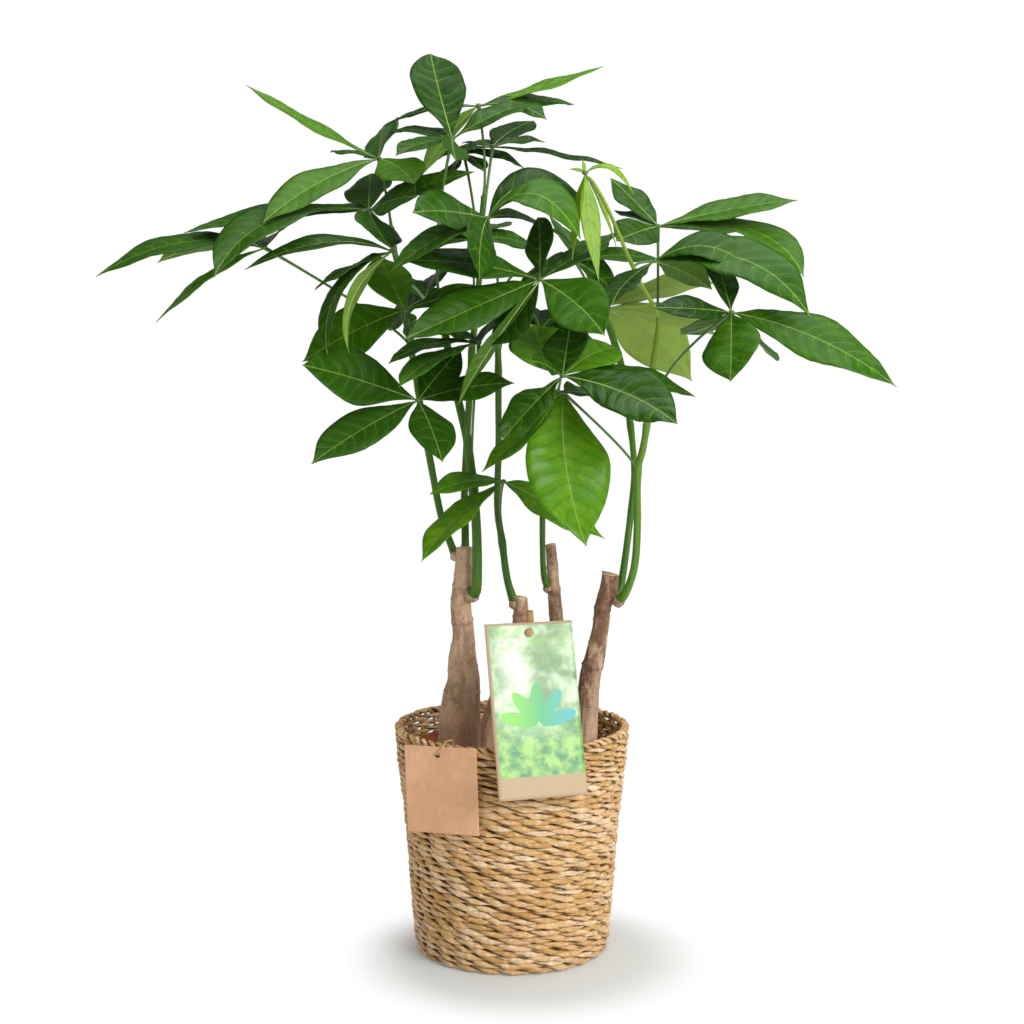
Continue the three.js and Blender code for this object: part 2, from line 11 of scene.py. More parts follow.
import bmesh
import bpy
from mathutils import Matrix, Vector, noise


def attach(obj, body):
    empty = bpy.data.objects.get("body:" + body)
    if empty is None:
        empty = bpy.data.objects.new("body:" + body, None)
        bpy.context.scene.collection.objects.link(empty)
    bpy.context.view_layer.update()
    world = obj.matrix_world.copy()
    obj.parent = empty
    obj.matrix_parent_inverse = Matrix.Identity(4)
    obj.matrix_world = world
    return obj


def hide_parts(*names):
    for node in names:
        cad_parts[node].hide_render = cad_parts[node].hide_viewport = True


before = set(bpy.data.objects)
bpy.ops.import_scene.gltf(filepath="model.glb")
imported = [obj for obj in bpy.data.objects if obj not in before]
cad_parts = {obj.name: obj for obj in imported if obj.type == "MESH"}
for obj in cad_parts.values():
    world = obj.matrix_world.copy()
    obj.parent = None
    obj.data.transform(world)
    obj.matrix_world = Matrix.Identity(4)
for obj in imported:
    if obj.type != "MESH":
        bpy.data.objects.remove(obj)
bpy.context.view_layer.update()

MM = 0.001
TURN = 2 * math.pi
UP = Vector((0, 0, 1))
scene = bpy.context.scene

# ---------------------------------------------------------------- camera and light

CAMERA = {"back": 1.4, "height": 0.489, "pitch": 5.35, "lens": 61.14, "sensor": 36}


def make_camera():
    data = bpy.data.cameras.new("camera")
    data.lens = CAMERA["lens"]
    data.sensor_width = CAMERA["sensor"]
    camera = bpy.data.objects.new("camera", data)
    camera.location = (0, -CAMERA["back"], CAMERA["height"])
    camera.rotation_euler = (math.radians(90 - CAMERA["pitch"]), 0, 0)
    scene.collection.objects.link(camera)
    scene.camera = camera


make_camera()
scene.view_settings.view_transform = "Standard"


def area_light(name, place, aim, size, watts, colour=(1, 1, 1)):
    data = bpy.data.lights.new(name, "AREA")
    data.shape = "DISK"
    data.size = size
    data.energy = watts
    data.color = colour
    light = bpy.data.objects.new(name, data)
    light.location = place
    light.rotation_euler = (Vector(aim) - Vector(place)).to_track_quat("-Z", "Y").to_euler()
    scene.collection.objects.link(light)


# ---------------------------------------------------------------- node helpers


def add(tree, kind, inputs=None, **settings):
    """Adds a shader node. Each input is given by its name or number, as a value or another's output."""
    made = tree.nodes.new("ShaderNode" + kind)
    for key, value in settings.items():
        setattr(made, key, value)
    for key, value in (inputs or {}).items():
        if isinstance(value, bpy.types.NodeSocket):
            tree.links.new(value, made.inputs[key])
        else:
            made.inputs[key].default_value = value
    return made


def calc(tree, operation, *values):
    """What one Math node makes of these numbers."""
    return add(tree, "Math", dict(enumerate(values)), operation=operation).outputs[0]


def times(tree, value, factor):
    return calc(tree, "MULTIPLY", value, factor)


def plus(tree, first, second):
    return calc(tree, "ADD", first, second)


def scaled(tree, value, factor, offset):
    return calc(tree, "MULTIPLY_ADD", value, factor, offset)


def vector_calc(tree, operation, *values):
    """What one Vector Math node makes of these vectors: a length, or another vector."""
    made = add(tree, "VectorMath", dict(enumerate(values)), operation=operation)
    return made.outputs["Value" if operation == "LENGTH" else "Vector"]


def step(tree, value, low, high, first=0.0, last=1.0):
    """Runs smoothly from first to last as value goes from low to high."""
    inputs = {"Value": value, "From Min": low, "From Max": high, "To Min": first, "To Max": last}
    return add(tree, "MapRange", inputs, interpolation_type="SMOOTHSTEP").outputs[0]


def colour(value):
    """A linear colour from three numbers between 0 and 255, as a paint chart gives them. What comes
    out of a node stays as it is."""
    if isinstance(value, bpy.types.NodeSocket):
        return value
    return (*[((c / 255 + 0.055) / 1.055) ** 2.4 if c > 10 else c / 255 / 12.92 for c in value], 1)


def mix(tree, share, first, second):
    """Runs from the first colour to the second as share goes from 0 to 1."""
    inputs = {0: share, 6: colour(first), 7: colour(second)}
    return add(tree, "Mix", inputs, data_type="RGBA").outputs[2]


def coats(tree, body, *layers):
    """Lays paints over a colour, one after another: each is where it lies, its strength and its colour."""
    for where, strength, paint in layers:
        body = mix(tree, times(tree, where, strength), body, paint)
    return body


def ramp(tree, value, stops):
    made = add(tree, "ValToRGB", {0: value})
    elements = made.color_ramp.elements
    while len(elements) < len(stops):
        elements.new(0.5)
    for element, (place, paint) in zip(elements, stops):
        element.position = place
        element.color = colour(paint)
    return made.outputs[0]


def stretch(tree, vector, scale):
    return vector_calc(tree, "MULTIPLY", vector, scale)


def cloud(tree, vector, scale, detail, rough):
    inputs = {"Vector": vector, "Scale": scale, "Detail": detail, "Roughness": rough}
    return add(tree, "TexNoise", inputs).outputs[0]


def grain(tree, vector, scale, detail, rough):
    """Noise with a scale of its own along each axis."""
    return cloud(tree, stretch(tree, vector, scale), 1.0, detail, rough)


def axes(tree, vector):
    return add(tree, "SeparateXYZ", {0: vector}).outputs


def object_place(tree):
    return add(tree, "TexCoord").outputs["Object"]


def map_place(tree):
    return add(tree, "TexCoord").outputs["UV"]


def mark(tree, name):
    """The three numbers of a colour attribute."""
    read = add(tree, "Attribute", attribute_name=name)
    return add(tree, "SeparateColor", {0: read.outputs["Color"]}).outputs


def group(name, inputs, outputs, build):
    """A node group: inputs and outputs are names with the kind of socket; build returns the outputs."""
    tree = bpy.data.node_groups.new(name, "ShaderNodeTree")
    for direction, sockets in (("INPUT", inputs), ("OUTPUT", outputs)):
        for title, kind in sockets.items():
            tree.interface.new_socket(title, in_out=direction, socket_type="NodeSocket" + kind)
    entry = tree.nodes.new("NodeGroupInput")
    leave = tree.nodes.new("NodeGroupOutput")
    for title, value in build(tree, entry.outputs).items():
        tree.links.new(value, leave.inputs[title])
    return tree


def use(tree, shared, inputs):
    """Adds a node group, and returns its outputs."""
    return add(tree, "Group", inputs, node_tree=shared).outputs


def surface(body, rough, relief, strength, distance):
    """What feeds a shader: its colour, its roughness, and a relief of this strength and depth."""
    return {"Base Color": body, "Roughness": rough, "Height": (relief, strength, distance)}


def finish_material(name, build, **fixed):
    """A material: build(tree) returns what feeds the shader; fixed values go on its own sockets."""
    material = bpy.data.materials.new(name)
    material.use_nodes = True
    tree = material.node_tree
    shader = tree.nodes["Principled BSDF"]
    for key, value in fixed.items():
        shader.inputs[key.replace("_", " ")].default_value = value
    feeds = build(tree)
    height = feeds.pop("Height", None)
    if height is not None:
        relief, strength, distance = height
        bump = {"Height": relief, "Strength": strength, "Distance": distance}
        tree.links.new(add(tree, "Bump", bump).outputs[0], shader.inputs["Normal"])
    for key, value in feeds.items():
        tree.links.new(value, shader.inputs[key])
    return material


# ---------------------------------------------------------------- shared effects


def build_fibres(tree, given):
    """Fine streaks that run along the third axis of the given place, and broad ones under them."""
    fine = cloud(tree, given["Place"], 1.0, 4.0, 0.65)
    broad = grain(tree, given["Place"], (0.35, 0.35, 0.35), 2.0, 0.5)
    both = plus(tree, times(tree, fine, 0.65), times(tree, broad, 0.35))
    return {"Streaks": step(tree, both, 0.32, 0.68)}


def build_blotches(tree, given):
    """Soft uneven patches, for skins, soil and paper that are not one even colour."""
    large = cloud(tree, given["Place"], given["Scale"], 4.0, 0.6)
    small = cloud(tree, given["Place"], times(tree, given["Scale"], 5.0), 2.0, 0.6)
    both = plus(tree, times(tree, large, 0.7), times(tree, small, 0.3))
    return {"Blotches": step(tree, both, 0.35, 0.65)}


def build_veins(tree, given):
    """The midrib and the side veins of a blade, from the distance to its midrib and the vein phase."""
    rib_end = times(tree, given["Rib Width"], 2.6)
    rib = step(tree, given["Distance"], given["Rib Width"], rib_end, 1, 0)
    nearest = calc(tree, "PINGPONG", given["Phase"], 0.5)
    side = step(tree, nearest, 0.0, given["Vein Width"], 1, 0)
    faded = times(tree, side, step(tree, given["Distance"], 0.0, 1.9, 1, 0.35))
    return {"Rib": rib, "Veins": faded}


FIBRES = group("fibres", {"Place": "Vector"}, {"Streaks": "Float"}, build_fibres)
BLOTCHES = group("blotches", {"Place": "Vector", "Scale": "Float"}, {"Blotches": "Float"}, build_blotches)
VEINS = group(
    "leaf_veins", {"Distance": "Float", "Phase": "Float", "Rib Width": "Float", "Vein Width": "Float"},
    {"Rib": "Float", "Veins": "Float"}, build_veins)


def streaked(tree, place, scale):
    return use(tree, FIBRES, {"Place": stretch(tree, place, scale)})["Streaks"]


def blotched(tree, place, scale):
    return use(tree, BLOTCHES, {"Place": place, "Scale": scale})["Blotches"]


def veined(tree, rib_width, vein_width):
    """Where a blade has its midrib and where its side veins, for veins of these widths."""
    distance, phase, _ = mark(tree, "vein")
    inputs = {"Distance": distance, "Phase": phase, "Rib Width": rib_width, "Vein Width": vein_width}
    veins = use(tree, VEINS, inputs)
    return veins["Rib"], veins["Veins"]


# ---------------------------------------------------------------- mesh helpers


def at(point):
    """A place in metres from millimetres."""
    return Vector(point[:3]) * MM


def on_circle(angle, radius=1):
    """The place at this angle on a level circle about the upright axis."""
    return Vector((math.cos(angle) * radius, math.sin(angle) * radius, 0))


def add_grid(bm, columns, rows):
    """Adds a grid, and lists its points, each with its shares of the way across and along the grid."""
    made = bmesh.ops.create_grid(bm, x_segments=columns, y_segments=rows, size=0.5, calc_uvs=True)
    return [(vert, vert.co.x + 0.5, vert.co.y + 0.5) for vert in made["verts"]]


def weld(bm, placed):
    """Joins those points of a grid that came to lie on each other."""
    bmesh.ops.remove_doubles(bm, verts=[vert for vert, _, _ in placed], dist=1e-7)


def smooth_line(points, steps):
    """A smooth line through the points, with a number of steps between each two of them."""
    line = [Vector(p) for p in points]
    line = [2 * line[0] - line[1], *line, 2 * line[-1] - line[-2]]
    placed = []
    for a, b, c, d in zip(line, line[1:], line[2:], line[3:]):
        for i in range(steps):
            t = i / steps
            bent = (c - a) * t + (2 * a - 5 * b + 4 * c - d) * t * t + (3 * b - a - 3 * c + d) * t ** 3
            placed.append(b + bent / 2)
    placed.append(line[-2])
    return placed


def frames_along(line):
    """For each point of a line, two directions across it that don't twist."""
    runs = []
    for i in range(len(line)):
        runs.append((line[min(i + 1, len(line) - 1)] - line[max(i - 1, 0)]).normalized())
    across = runs[0].orthogonal().normalized()
    placed = []
    for run in runs:
        across = (across - run * across.dot(run)).normalized()
        placed.append((across, run.cross(across)))
    return placed


def add_tube(bm, line, radii, sides, relief=None, material=0):
    """Adds a tube with closed ends along a line. relief(point, angle, share) gives what it stands
    proud there."""
    frames = frames_along(line)
    last = len(line) - 1
    rows = last + 2
    placed = add_grid(bm, sides, rows)
    for vert, around, along in placed:
        angle = around * TURN
        row = round(along * rows)
        spot = min(max(row - 1, 0), last)
        radius = 0 if row in (0, rows) else radii[spot]
        across, over = frames[spot]
        outward = across * math.cos(angle) + over * math.sin(angle)
        proud = relief(line[spot], angle, spot / last) if relief and radius else 0
        vert.co = line[spot] + outward * (radius + proud)
        for face in vert.link_faces:
            face.material_index = material
    weld(bm, placed)


def new_mesh(*layers):
    """A mesh with a map of its faces, and with these layers of values at its points."""
    bm = bmesh.new()
    bm.loops.layers.uv.new("UVMap")
    for layer in layers:
        bm.verts.layers.float_color.new(layer)
    return bm


def fill_layer(bm, name, values):
    """Gives every point of a mesh the same values."""
    layer = bm.verts.layers.float_color[name]
    for vert in bm.verts:
        vert[layer] = values


def piece(name, bm, materials, nodes):
    """Turns a mesh into a finished piece of the plant, in place of the named solids."""
    for face in bm.faces:
        face.smooth = True
    mesh = bpy.data.meshes.new(name)
    bm.to_mesh(mesh)
    bm.free()
    for material in materials:
        mesh.materials.append(material)
    made = bpy.data.objects.new(name, mesh)
    scene.collection.objects.link(made)
    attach(made, "root")
    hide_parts(*nodes)
    return made


def thicken(made, thickness, under=0, rim=0):
    """Gives a sheet this thickness in millimetres. Its under side and its rim take the materials that
    many places down its list."""
    wall = made.modifiers.new("thickness", "SOLIDIFY")
    wall.thickness = thickness * MM
    wall.offset = -1
    wall.material_offset = under
    wall.material_offset_rim = rim


def lathe(bm, profile, steps):
    """Spins a closed profile of (radius, height) about the upright axis."""
    corners = [bm.verts.new((radius, 0, height)) for radius, height in profile]
    edges = [bm.edges.new(pair) for pair in zip(corners, corners[1:])]
    bmesh.ops.spin(bm, geom=corners + edges, cent=(0, 0, 0), axis=(0, 0, 1), angle=TURN, steps=steps,
                   use_merge=True)
    bmesh.ops.remove_doubles(bm, verts=bm.verts, dist=1e-6)
    bmesh.ops.recalc_face_normals(bm, faces=bm.faces)


# ---------------------------------------------------------------- the plant's measures

# A trunk is a list of (x, y, z, radius) from its cut top down, and knots where stems grow out.
# A trunk's tone is painted light: it is set high on the left trunk and low on the right one to even out the
# light from the right.
TRUNKS = {
    "trunk_large": {
        "line": [(-38, -15, 331, 6), (-39, -15, 309, 7.4), (-41, -15, 285, 8), (-39, -15, 259, 8.9),
                 (-40, -15, 239, 11.5), (-39, -15, 223, 13), (-41, -15, 207, 15.5), (-43, -15, 174, 17),
                 (-43, -15, 150, 17), (-42, -14, 105, 11)],
        "knots": [(-32, -22, 293, 6.4), (-45, -10, 323, 5), (-38, -8, 325, 5.5)],
        "slant": 0.05,
        "tone": 0.9,
        "scars": [300, 272],
    },
    "trunk_short": {
        "line": [(7, 20, 286, 5.6), (7, 20, 267, 6.2), (0, 20, 233, 7), (-12, 20, 195, 8.5),
                 (-20, 20, 162, 10), (-22, 20, 105, 7)],
        "knots": [(2, 20, 280, 5)],
        "slant": -0.15,
        "tone": 0.5,
        "scars": [268],
    },
    "trunk_thin": {
        "line": [(32, 35, 328, 4), (34, 35, 302, 4.6), (37, 34, 264, 5.8), (40, 32, 214, 7),
                 (42, 30, 168, 8.2), (43, 30, 105, 6)],
        "knots": [(30, 33, 291, 4.6)],
        "slant": 0.1,
        "tone": 0.5,
        "scars": [289],
    },
    "trunk_right": {
        "line": [(80, 0, 308, 6.6), (78, 0, 293, 7.4), (74, 0, 280, 6.4), (72, 0, 263, 6.8),
                 (68, 0, 241, 7.8), (64, 0, 224, 8.4), (62, 0, 204, 8.8), (60, 0, 170, 9),
                 (57, 0, 140, 8.5), (55, 0, 105, 7)],
        "knots": [(85, 4, 288, 5.4), (86, -6, 286, 5.6)],
        "slant": -0.1,
        "tone": 0.25,
        "scars": [279, 232],
    },
}

# A stem's radii at its foot and tip, and the points that it grows through.
STEMS = {
    "stem_left": {
        "radii": (3.1, 2.2),
        "line": [(-45, -10, 323), (-49, -3, 331), (-58, 6, 356), (-67, 10, 402), (-72, 10, 427),
                 (-76, 12, 456), (-82, 14, 490), (-87, 18, 517), (-92, 22, 553), (-96, 24, 571),
                 (-98, 28, 587)],
    },
    "stem_back": {
        "radii": (3.2, 2.2),
        "line": [(-38, -8, 325), (-38, 9, 336), (-39, 24, 374), (-37, 26, 415), (-35, 26, 448),
                 (-33, 28, 487), (-29, 34, 521), (-26, 40, 560), (-25, 44, 593), (-23, 46, 614)],
    },
    "stem_front": {
        "radii": (4.2, 2.8),
        "line": [(-32, -22, 293), (-28, -28, 303), (-28, -30, 345), (-31, -27, 382), (-36, -22, 420),
                 (-42, -16, 445), (-48, -10, 472), (-53, -6, 500), (-57, -4, 523)],
    },
    "stem_middle": {
        "radii": (3.0, 2.4),
        "line": [(2, 20, 280), (-4, 20, 301), (-8, 18, 331), (-12, 16, 362), (-11, 14, 406),
                 (-11, 12, 442), (-11, 10, 471), (-11, 8, 504), (-7, 4, 531)],
    },
    "stem_thin": {
        "radii": (2.6, 2.2),
        "line": [(30, 33, 291), (26, 26, 307), (25, 16, 353), (27, 4, 400), (33, -18, 437),
                 (36, -38, 456)],
    },
    "stem_right_back": {
        "radii": (3.2, 2.2),
        "line": [(85, 4, 288), (89, 9, 297), (94, 14, 329), (99, 18, 371), (100, 20, 393),
                 (97, 24, 426), (90, 34, 476), (82, 42, 503), (75, 48, 521)],
    },
    "stem_right_front": {
        "radii": (3.3, 2.4),
        "line": [(86, -6, 286), (92, -13, 295), (98, -20, 317), (100, -20, 349), (100, -18, 391),
                 (104, -17, 409), (107, -16, 428), (112, -12, 475), (115, -10, 495), (117, -10, 515)],
    },
    "young_shoot": {
        "radii": (1.8, 1.3),
        "line": [(117, -10, 513), (111, -15, 525), (101, -21, 541), (96, -25, 551), (90, -31, 562),
                 (84, -38, 575), (73, -46, 598), (63, -50, 615), (58, -50, 620)],
    },
}

# A leaf: its stem, the stem point where its stalk starts, how far the stalk follows the stem, its
# hub and its look. A leaflet: tip, bow of the midrib's middle, width, turn to the front in degrees,
# and a look of its own where it differs from its leaf's.
LEAVES = {
    "leaf_01": ("stem_left", 6, 0.1, (-196, -10, 569), "mid", [
        ((-323, -40, 545), (0, 0, 15), 42, 8), ((-292, 45, 560), (0, 1, 10), 40, -22),
        ((-237, 85, 584), (1, 0, 4), 34, -12), ((-194, 90, 590), (1, -1, 3), 34, -34),
        ((-280, -25, 510), (0, 0, 7), 34, -4, "bright")]),
    "leaf_02": ("stem_left", 9, 0.4, (-115, 10, 600), "mid", [
        ((-258, -20, 580), (-1, 0, 4), 50, 6), ((-221, -100, 542), (-17, 6, 18), 52, 2),
        ((-122, 120, 640), (0, -1, 1), 42, 18), ((-30, 25, 632), (0, 0, 3), 38, 10),
        ((-73, -45, 606), (1, 2, 3), 36, 40), ((-151, 90, 610), (0, 0, 2), 26, 0),
        ((-94, -45, 567), (-2, -1, 1), 42, -26)]),
    "leaf_03": ("stem_left", 10, 0.4, (-109, 40, 644), "mid", [
        ((-219, 60, 706), (1, 0, -4), 34, -4, "bright"), ((-191, -55, 585), (-4, 1, 5), 40, 12, "fresh"),
        ((-111, 130, 682), (0, 0, 1), 44, 44, "fresh"), ((-156, 110, 657), (1, 0, 2), 26, 0),
        ((-76, -30, 617), (3, 0, 2), 40, 14, "bright")]),
    "leaf_04": ("stem_front", 8, 0.4, (-47, -10, 654), "mid", [
        ((-66, 35, 727), (-1, -2, 1), 45, -2, "upright"), ((14, 20, 684), (3, -11, 4), 34, 8),
        ((-89, -55, 636), (0, -1, 3), 32, 2), ((-98, 50, 668), (-1, -2, 3), 28, 6),
        ((-42, -75, 630), (-1, -1, 2), 28, -38)]),
    "leaf_05": ("stem_back", 9, 0.4, (-27, 30, 685), "mid", [
        ((-78, 40, 624), (-1, 0, 6), 34, -30, "bright"), ((-105, 75, 674), (-5, -8, 4), 28, 12),
        ((28, 15, 672), (2, 0, 6), 34, 12), ((75, 60, 721), (-1, 0, -2), 30, 2, "bright"),
        ((52, 75, 692), (3, -5, 3), 34, 12)]),
    "leaf_06": ("stem_back", 7, 0.4, (-16, 60, 656), "dark", [
        ((19, 130, 686), (-2, 0, 2), 36, 0), ((28, 75, 661), (1, -3, 3), 24, 6),
        ((90, 40, 636), (-4, 0, 3), 24, 0), ((-69, 75, 645), (-1, 0, 3), 26, 6),
        ((-39, 130, 667), (0, 0, 2), 26, 2)]),
    "leaf_07": ("stem_back", 6, 0.4, (-41, 92, 654), "dark", [
        ((11, 100, 642), (0, 0, 5), 24, 10), ((-23, 55, 635), (0, -1, 2), 24, -14),
        ((-70, 60, 611), (1, -2, 1), 30, -24), ((-59, 160, 662), (1, 0, 2), 26, 6)]),
    "leaf_08": ("stem_middle", 7, 0.4, (-19, -50, 589), "mid", [
        ((-24, -105, 540), (-2, -4, 5), 38, 58), ((-91, -85, 547), (0, -6, 5), 42, 0),
        ((-74, -95, 590), (-1, 1, 3), 44, 34), ((52, -80, 571), (1, 0, 26), 46, 14, "fresh"),
        ((70, -25, 586), (-6, 0, 29), 46, 20, "dark"), ((54, 10, 568), (-3, 18, 13), 34, 10, "dark")]),
    "leaf_09": ("stem_middle", 8, 0.4, (21, -60, 542), "mid", [
        ((20, -25, 592), (1, -6, 4), 28, 42, "dark"), ((-81, -75, 555), (-1, 0, 5), 44, 18),
        ((-80, -110, 496), (1, -3, 1), 50, 18, "glossy"), ((-19, -60, 491), (2, 0, -3), 36, 22, "dark"),
        ((-42, -60, 446), (-8, 0, -7), 28, -44, "mid"), ((69, -100, 499), (3, 0, 3), 46, 36, "fresh"),
        ((78, -5, 575), (2, -4, 3), 32, -4)]),
    "leaf_10": ("stem_front", 3, 0.25, (-26, -30, 494), "mid", [
        ((-95, -60, 478), (-3, 4, 7), 34, -2), ((-84, -100, 461), (-6, 3, 4), 36, -10, "fresh"),
        ((-64, -25, 504), (0, 0, 3), 32, 2), ((-18, 10, 511), (1, 0, 0), 32, -42, "dark")]),
    "leaf_11": ("stem_left", 4, 0.4, (-74, -30, 449), "mid", [
        ((-160, -70, 477), (-5, 10, 3), 50, 46), ((-151, -95, 403), (-2, 1, 2), 46, 12),
        ((-53, -75, 403), (1, -2, 2), 38, -8), ((2, -50, 463), (0, 0, 3), 32, 28, "mid"),
        ((-40, -15, 490), (0, 0, 1), 38, 18, "mid")]),
    "leaf_12": ("stem_left", 5, 0.4, (-85, -10, 520), "fresh", [
        ((-167, -10, 479), (1, 0, 4), 52, 36), ((-106, 10, 564), (-1, -4, 1), 42, 0, "bright"),
        ((-17, -25, 535), (1, 0, 3), 32, 20, "mid"), ((-80, 0, 494), (1, 1, 0), 30, 50)]),
    "leaf_13": ("stem_left", 8, 0.4, (-93, -40, 565), "mid", [
        ((-139, -85, 485), (-17, 2, 9), 28, -24), ((-125, -65, 486), (-14, 0, 2), 26, -68, "bright"),
        ((-151, -60, 534), (-8, 0, -1), 26, -10), ((-138, -10, 545), (-3, -5, 0), 24, 16),
        ((-203, -70, 549), (3, 0, 13), 32, 6, "dark")]),
    "leaf_14": ("stem_right_front", 6, 0.4, (168, -60, 517), "fresh", [
        ((160, -20, 562), (-1, -3, 3), 30, -24, "dark"), ((106, -85, 520), (1, -2, 1), 34, 20, "dark"),
        ((162, -108, 465), (0, -1, 1), 47, -26), ((287, -100, 461), (3, 0, 8), 52, 22, "puckered"),
        ((210, -15, 480), (4, -10, -6), 22, 10, "dark"), ((136, 10, 501), (0, -1, -3), 28, -14, "dark")]),
    "leaf_15": ("stem_right_front", 8, 0.1, (118, 20, 588), "mid", [
        ((81, 55, 630), (1, 1, 0), 32, 2), ((84, 50, 603), (-1, -2, 1), 24, -4),
        ((227, 0, 607), (2, 0, 3), 42, 14, "fresh"), ((224, -55, 544), (20, 16, 17), 42, 4, "fresh"),
        ((195, 100, 589), (0, 0, 0), 34, 8), ((81, -30, 573), (0, 0, 1), 38, 24)]),
    "leaf_16": ("young_shoot", 3, 0.4, (112, -20, 558), "mid", [
        ((186, -55, 547), (2, 0, 16), 40, 20), ((224, -90, 512), (11, 2, 22), 52, 20, "puckered"),
        ((159, -10, 536), (-1, 0, 4), 42, -36), ((75, -95, 522), (-6, 3, 0), 28, -10, "dark")]),
    "leaf_17": ("stem_right_back", 7, 0.4, (74, 60, 523), "pale", [
        ((173, 90, 545), (1, 0, 5), 36, -46), ((156, 110, 461), (2, 11, 11), 52, -72),
        ((172, 60, 500), (5, 0, 5), 32, -42), ((38, 110, 514), (0, 0, 2), 34, 22)]),
    "leaf_18": ("stem_thin", 5, 0.4, (38, -90, 469), "glossy", [
        ((120, -140, 435), (4, 3, 5), 46, 30, "crinkled"), ((140, -70, 453), (4, 0, 6), 42, 10, "mid"),
        ((-7, -120, 422), (-2, 3, 0), 38, 2, "crinkled"), ((45, -60, 510), (0, -2, 1), 38, -20, "dark"),
        ((15, -125, 480), (-2, 2, 3), 20, 40, "dark"), ((18, -30, 508), (-5, 4, 2), 50, 10, "bright"),
        ((82, -55, 490), (1, -4, 6), 44, 14, "bright")]),
    "leaf_19": ("stem_right_front", 4, 0.1, (39, -68, 456), "puckered", [
        ((55, -125, 344), (-6, 1, -1), 67, -8, "broad"), ((-23, -95, 397), (0, 3, -2), 36, -8, "bright"),
        ((68, -10, 452), (0, 0, 2), 28, 20, "fresh")]),
    "leaf_20": ("stem_middle", 2, 0.4, (-7, -30, 385), "bright", [
        ((-64, -60, 377), (0, -1, 5), 27, 12), ((-69, -85, 328), (-5, 3, 2), 38, -12),
        ((74, -25, 339), (-7, 0, 6), 42, 18, "bright")]),
    "leaf_21": ("stem_back", 5, 0.4, (-37, 140, 584), "mid", [
        ((-101, 190, 568), (2, 5, 8), 44, 20), ((-67, 235, 613), (0, -1, 4), 44, -16),
        ((-11, 245, 605), (0, -1, 4), 46, -4), ((30, 205, 577), (0, 1, 7), 44, 18),
        ((-29, 175, 546), (-2, 1, 1), 38, 60)]),
    "leaf_22": ("stem_right_back", 5, 0.4, (56, 150, 566), "mid", [
        ((3, 190, 542), (0, 5, 7), 44, 22), ((45, 245, 605), (1, -2, 4), 46, -40),
        ((92, 250, 596), (-1, -1, 4), 46, -16), ((144, 215, 569), (-2, 3, 6), 44, 8),
        ((97, 175, 533), (0, 7, 5), 38, 48)]),
    "leaf_23": ("stem_left", 7, 0.4, (-76, 130, 532), "dark", [
        ((-115, 185, 506), (0, 2, 5), 42, 52), ((-112, 215, 557), (1, 0, 3), 42, -12),
        ((-67, 235, 562), (-1, -1, 4), 44, -34), ((-29, 205, 529), (-1, 1, 2), 42, 18)]),
    "leaf_24": ("stem_middle", 6, 0.4, (25, 135, 506), "dark", [
        ((-15, 180, 502), (1, 1, 4), 42, 18), ((12, 225, 534), (0, -1, 4), 44, -36),
        ((59, 230, 530), (0, -1, 5), 44, -14), ((81, 200, 493), (-1, 1, 3), 42, 24)]),
    "young_leaves": ("young_shoot", 8, 0, (56, -50, 623.5), "young", [
        ((67, -57, 538), (-1, 0, 3), 16, 0), ((46, -51, 556), (-1, 0, 2), 12, -28),
        ((82, -24, 568), (1, 0, 4), 14, 36), ((93, -58, 606), (1, 0, 12), 12, 6),
        ((44, -44, 627), (0, -1, 1), 5, 14), ((54, -54, 633), (0, 1, 0), 5, 70)]),
}

# How a blade looks: tone from dark to light, pucker between its veins and wave of its margin in
# millimetres, gloss, where it is widest, and the powers that shape its tip and its base.
Look = namedtuple("Look", "tone pucker wave gloss widest tip base", defaults=(0.53, 0.8, 1.3))
LOOKS = {
    "dark": Look(0.08, 0.6, 1.0, 0.4),
    "mid": Look(0.22, 0.6, 1.0, 0.4),
    "fresh": Look(0.4, 0.6, 1.2, 0.4, 0.54),
    "bright": Look(0.66, 0.5, 1.0, 0.3),
    "pale": Look(0.8, 0.4, 1.0, 0.1),
    "glossy": Look(0.28, 1.0, 1.6, 0.9),
    "crinkled": Look(0.2, 1.5, 2.2, 1.0, 0.56, 0.7),
    "puckered": Look(0.4, 1.0, 1.4, 0.6, 0.47, 0.9),
    "broad": Look(0.64, 0.7, 2.6, 0.85, 0.47, 0.75, 1.1),
    "upright": Look(0.14, 0.8, 1.2, 0.3, 0.62, 0.45),
    "young": Look(0.97, 0.2, 0.4, 1.0, 0.42, 1.1),
}

SKY = Vector((0, -0.25, 1)).normalized()
BLADE = {"columns": 14, "rows": 44, "fold": 0.14, "thickness": 0.5, "vein_space": 11.5}
RIB = {"points": 12, "below": 0.45, "sides": 6, "thick": 0.8, "thin": 0.5, "narrow_blade": 20}
STALK = {"radius": 1.05, "foot": 1.9, "hub": 1.7, "knob": 2.5, "steps": 22, "sides": 8}


# ---------------------------------------------------------------- leaf materials


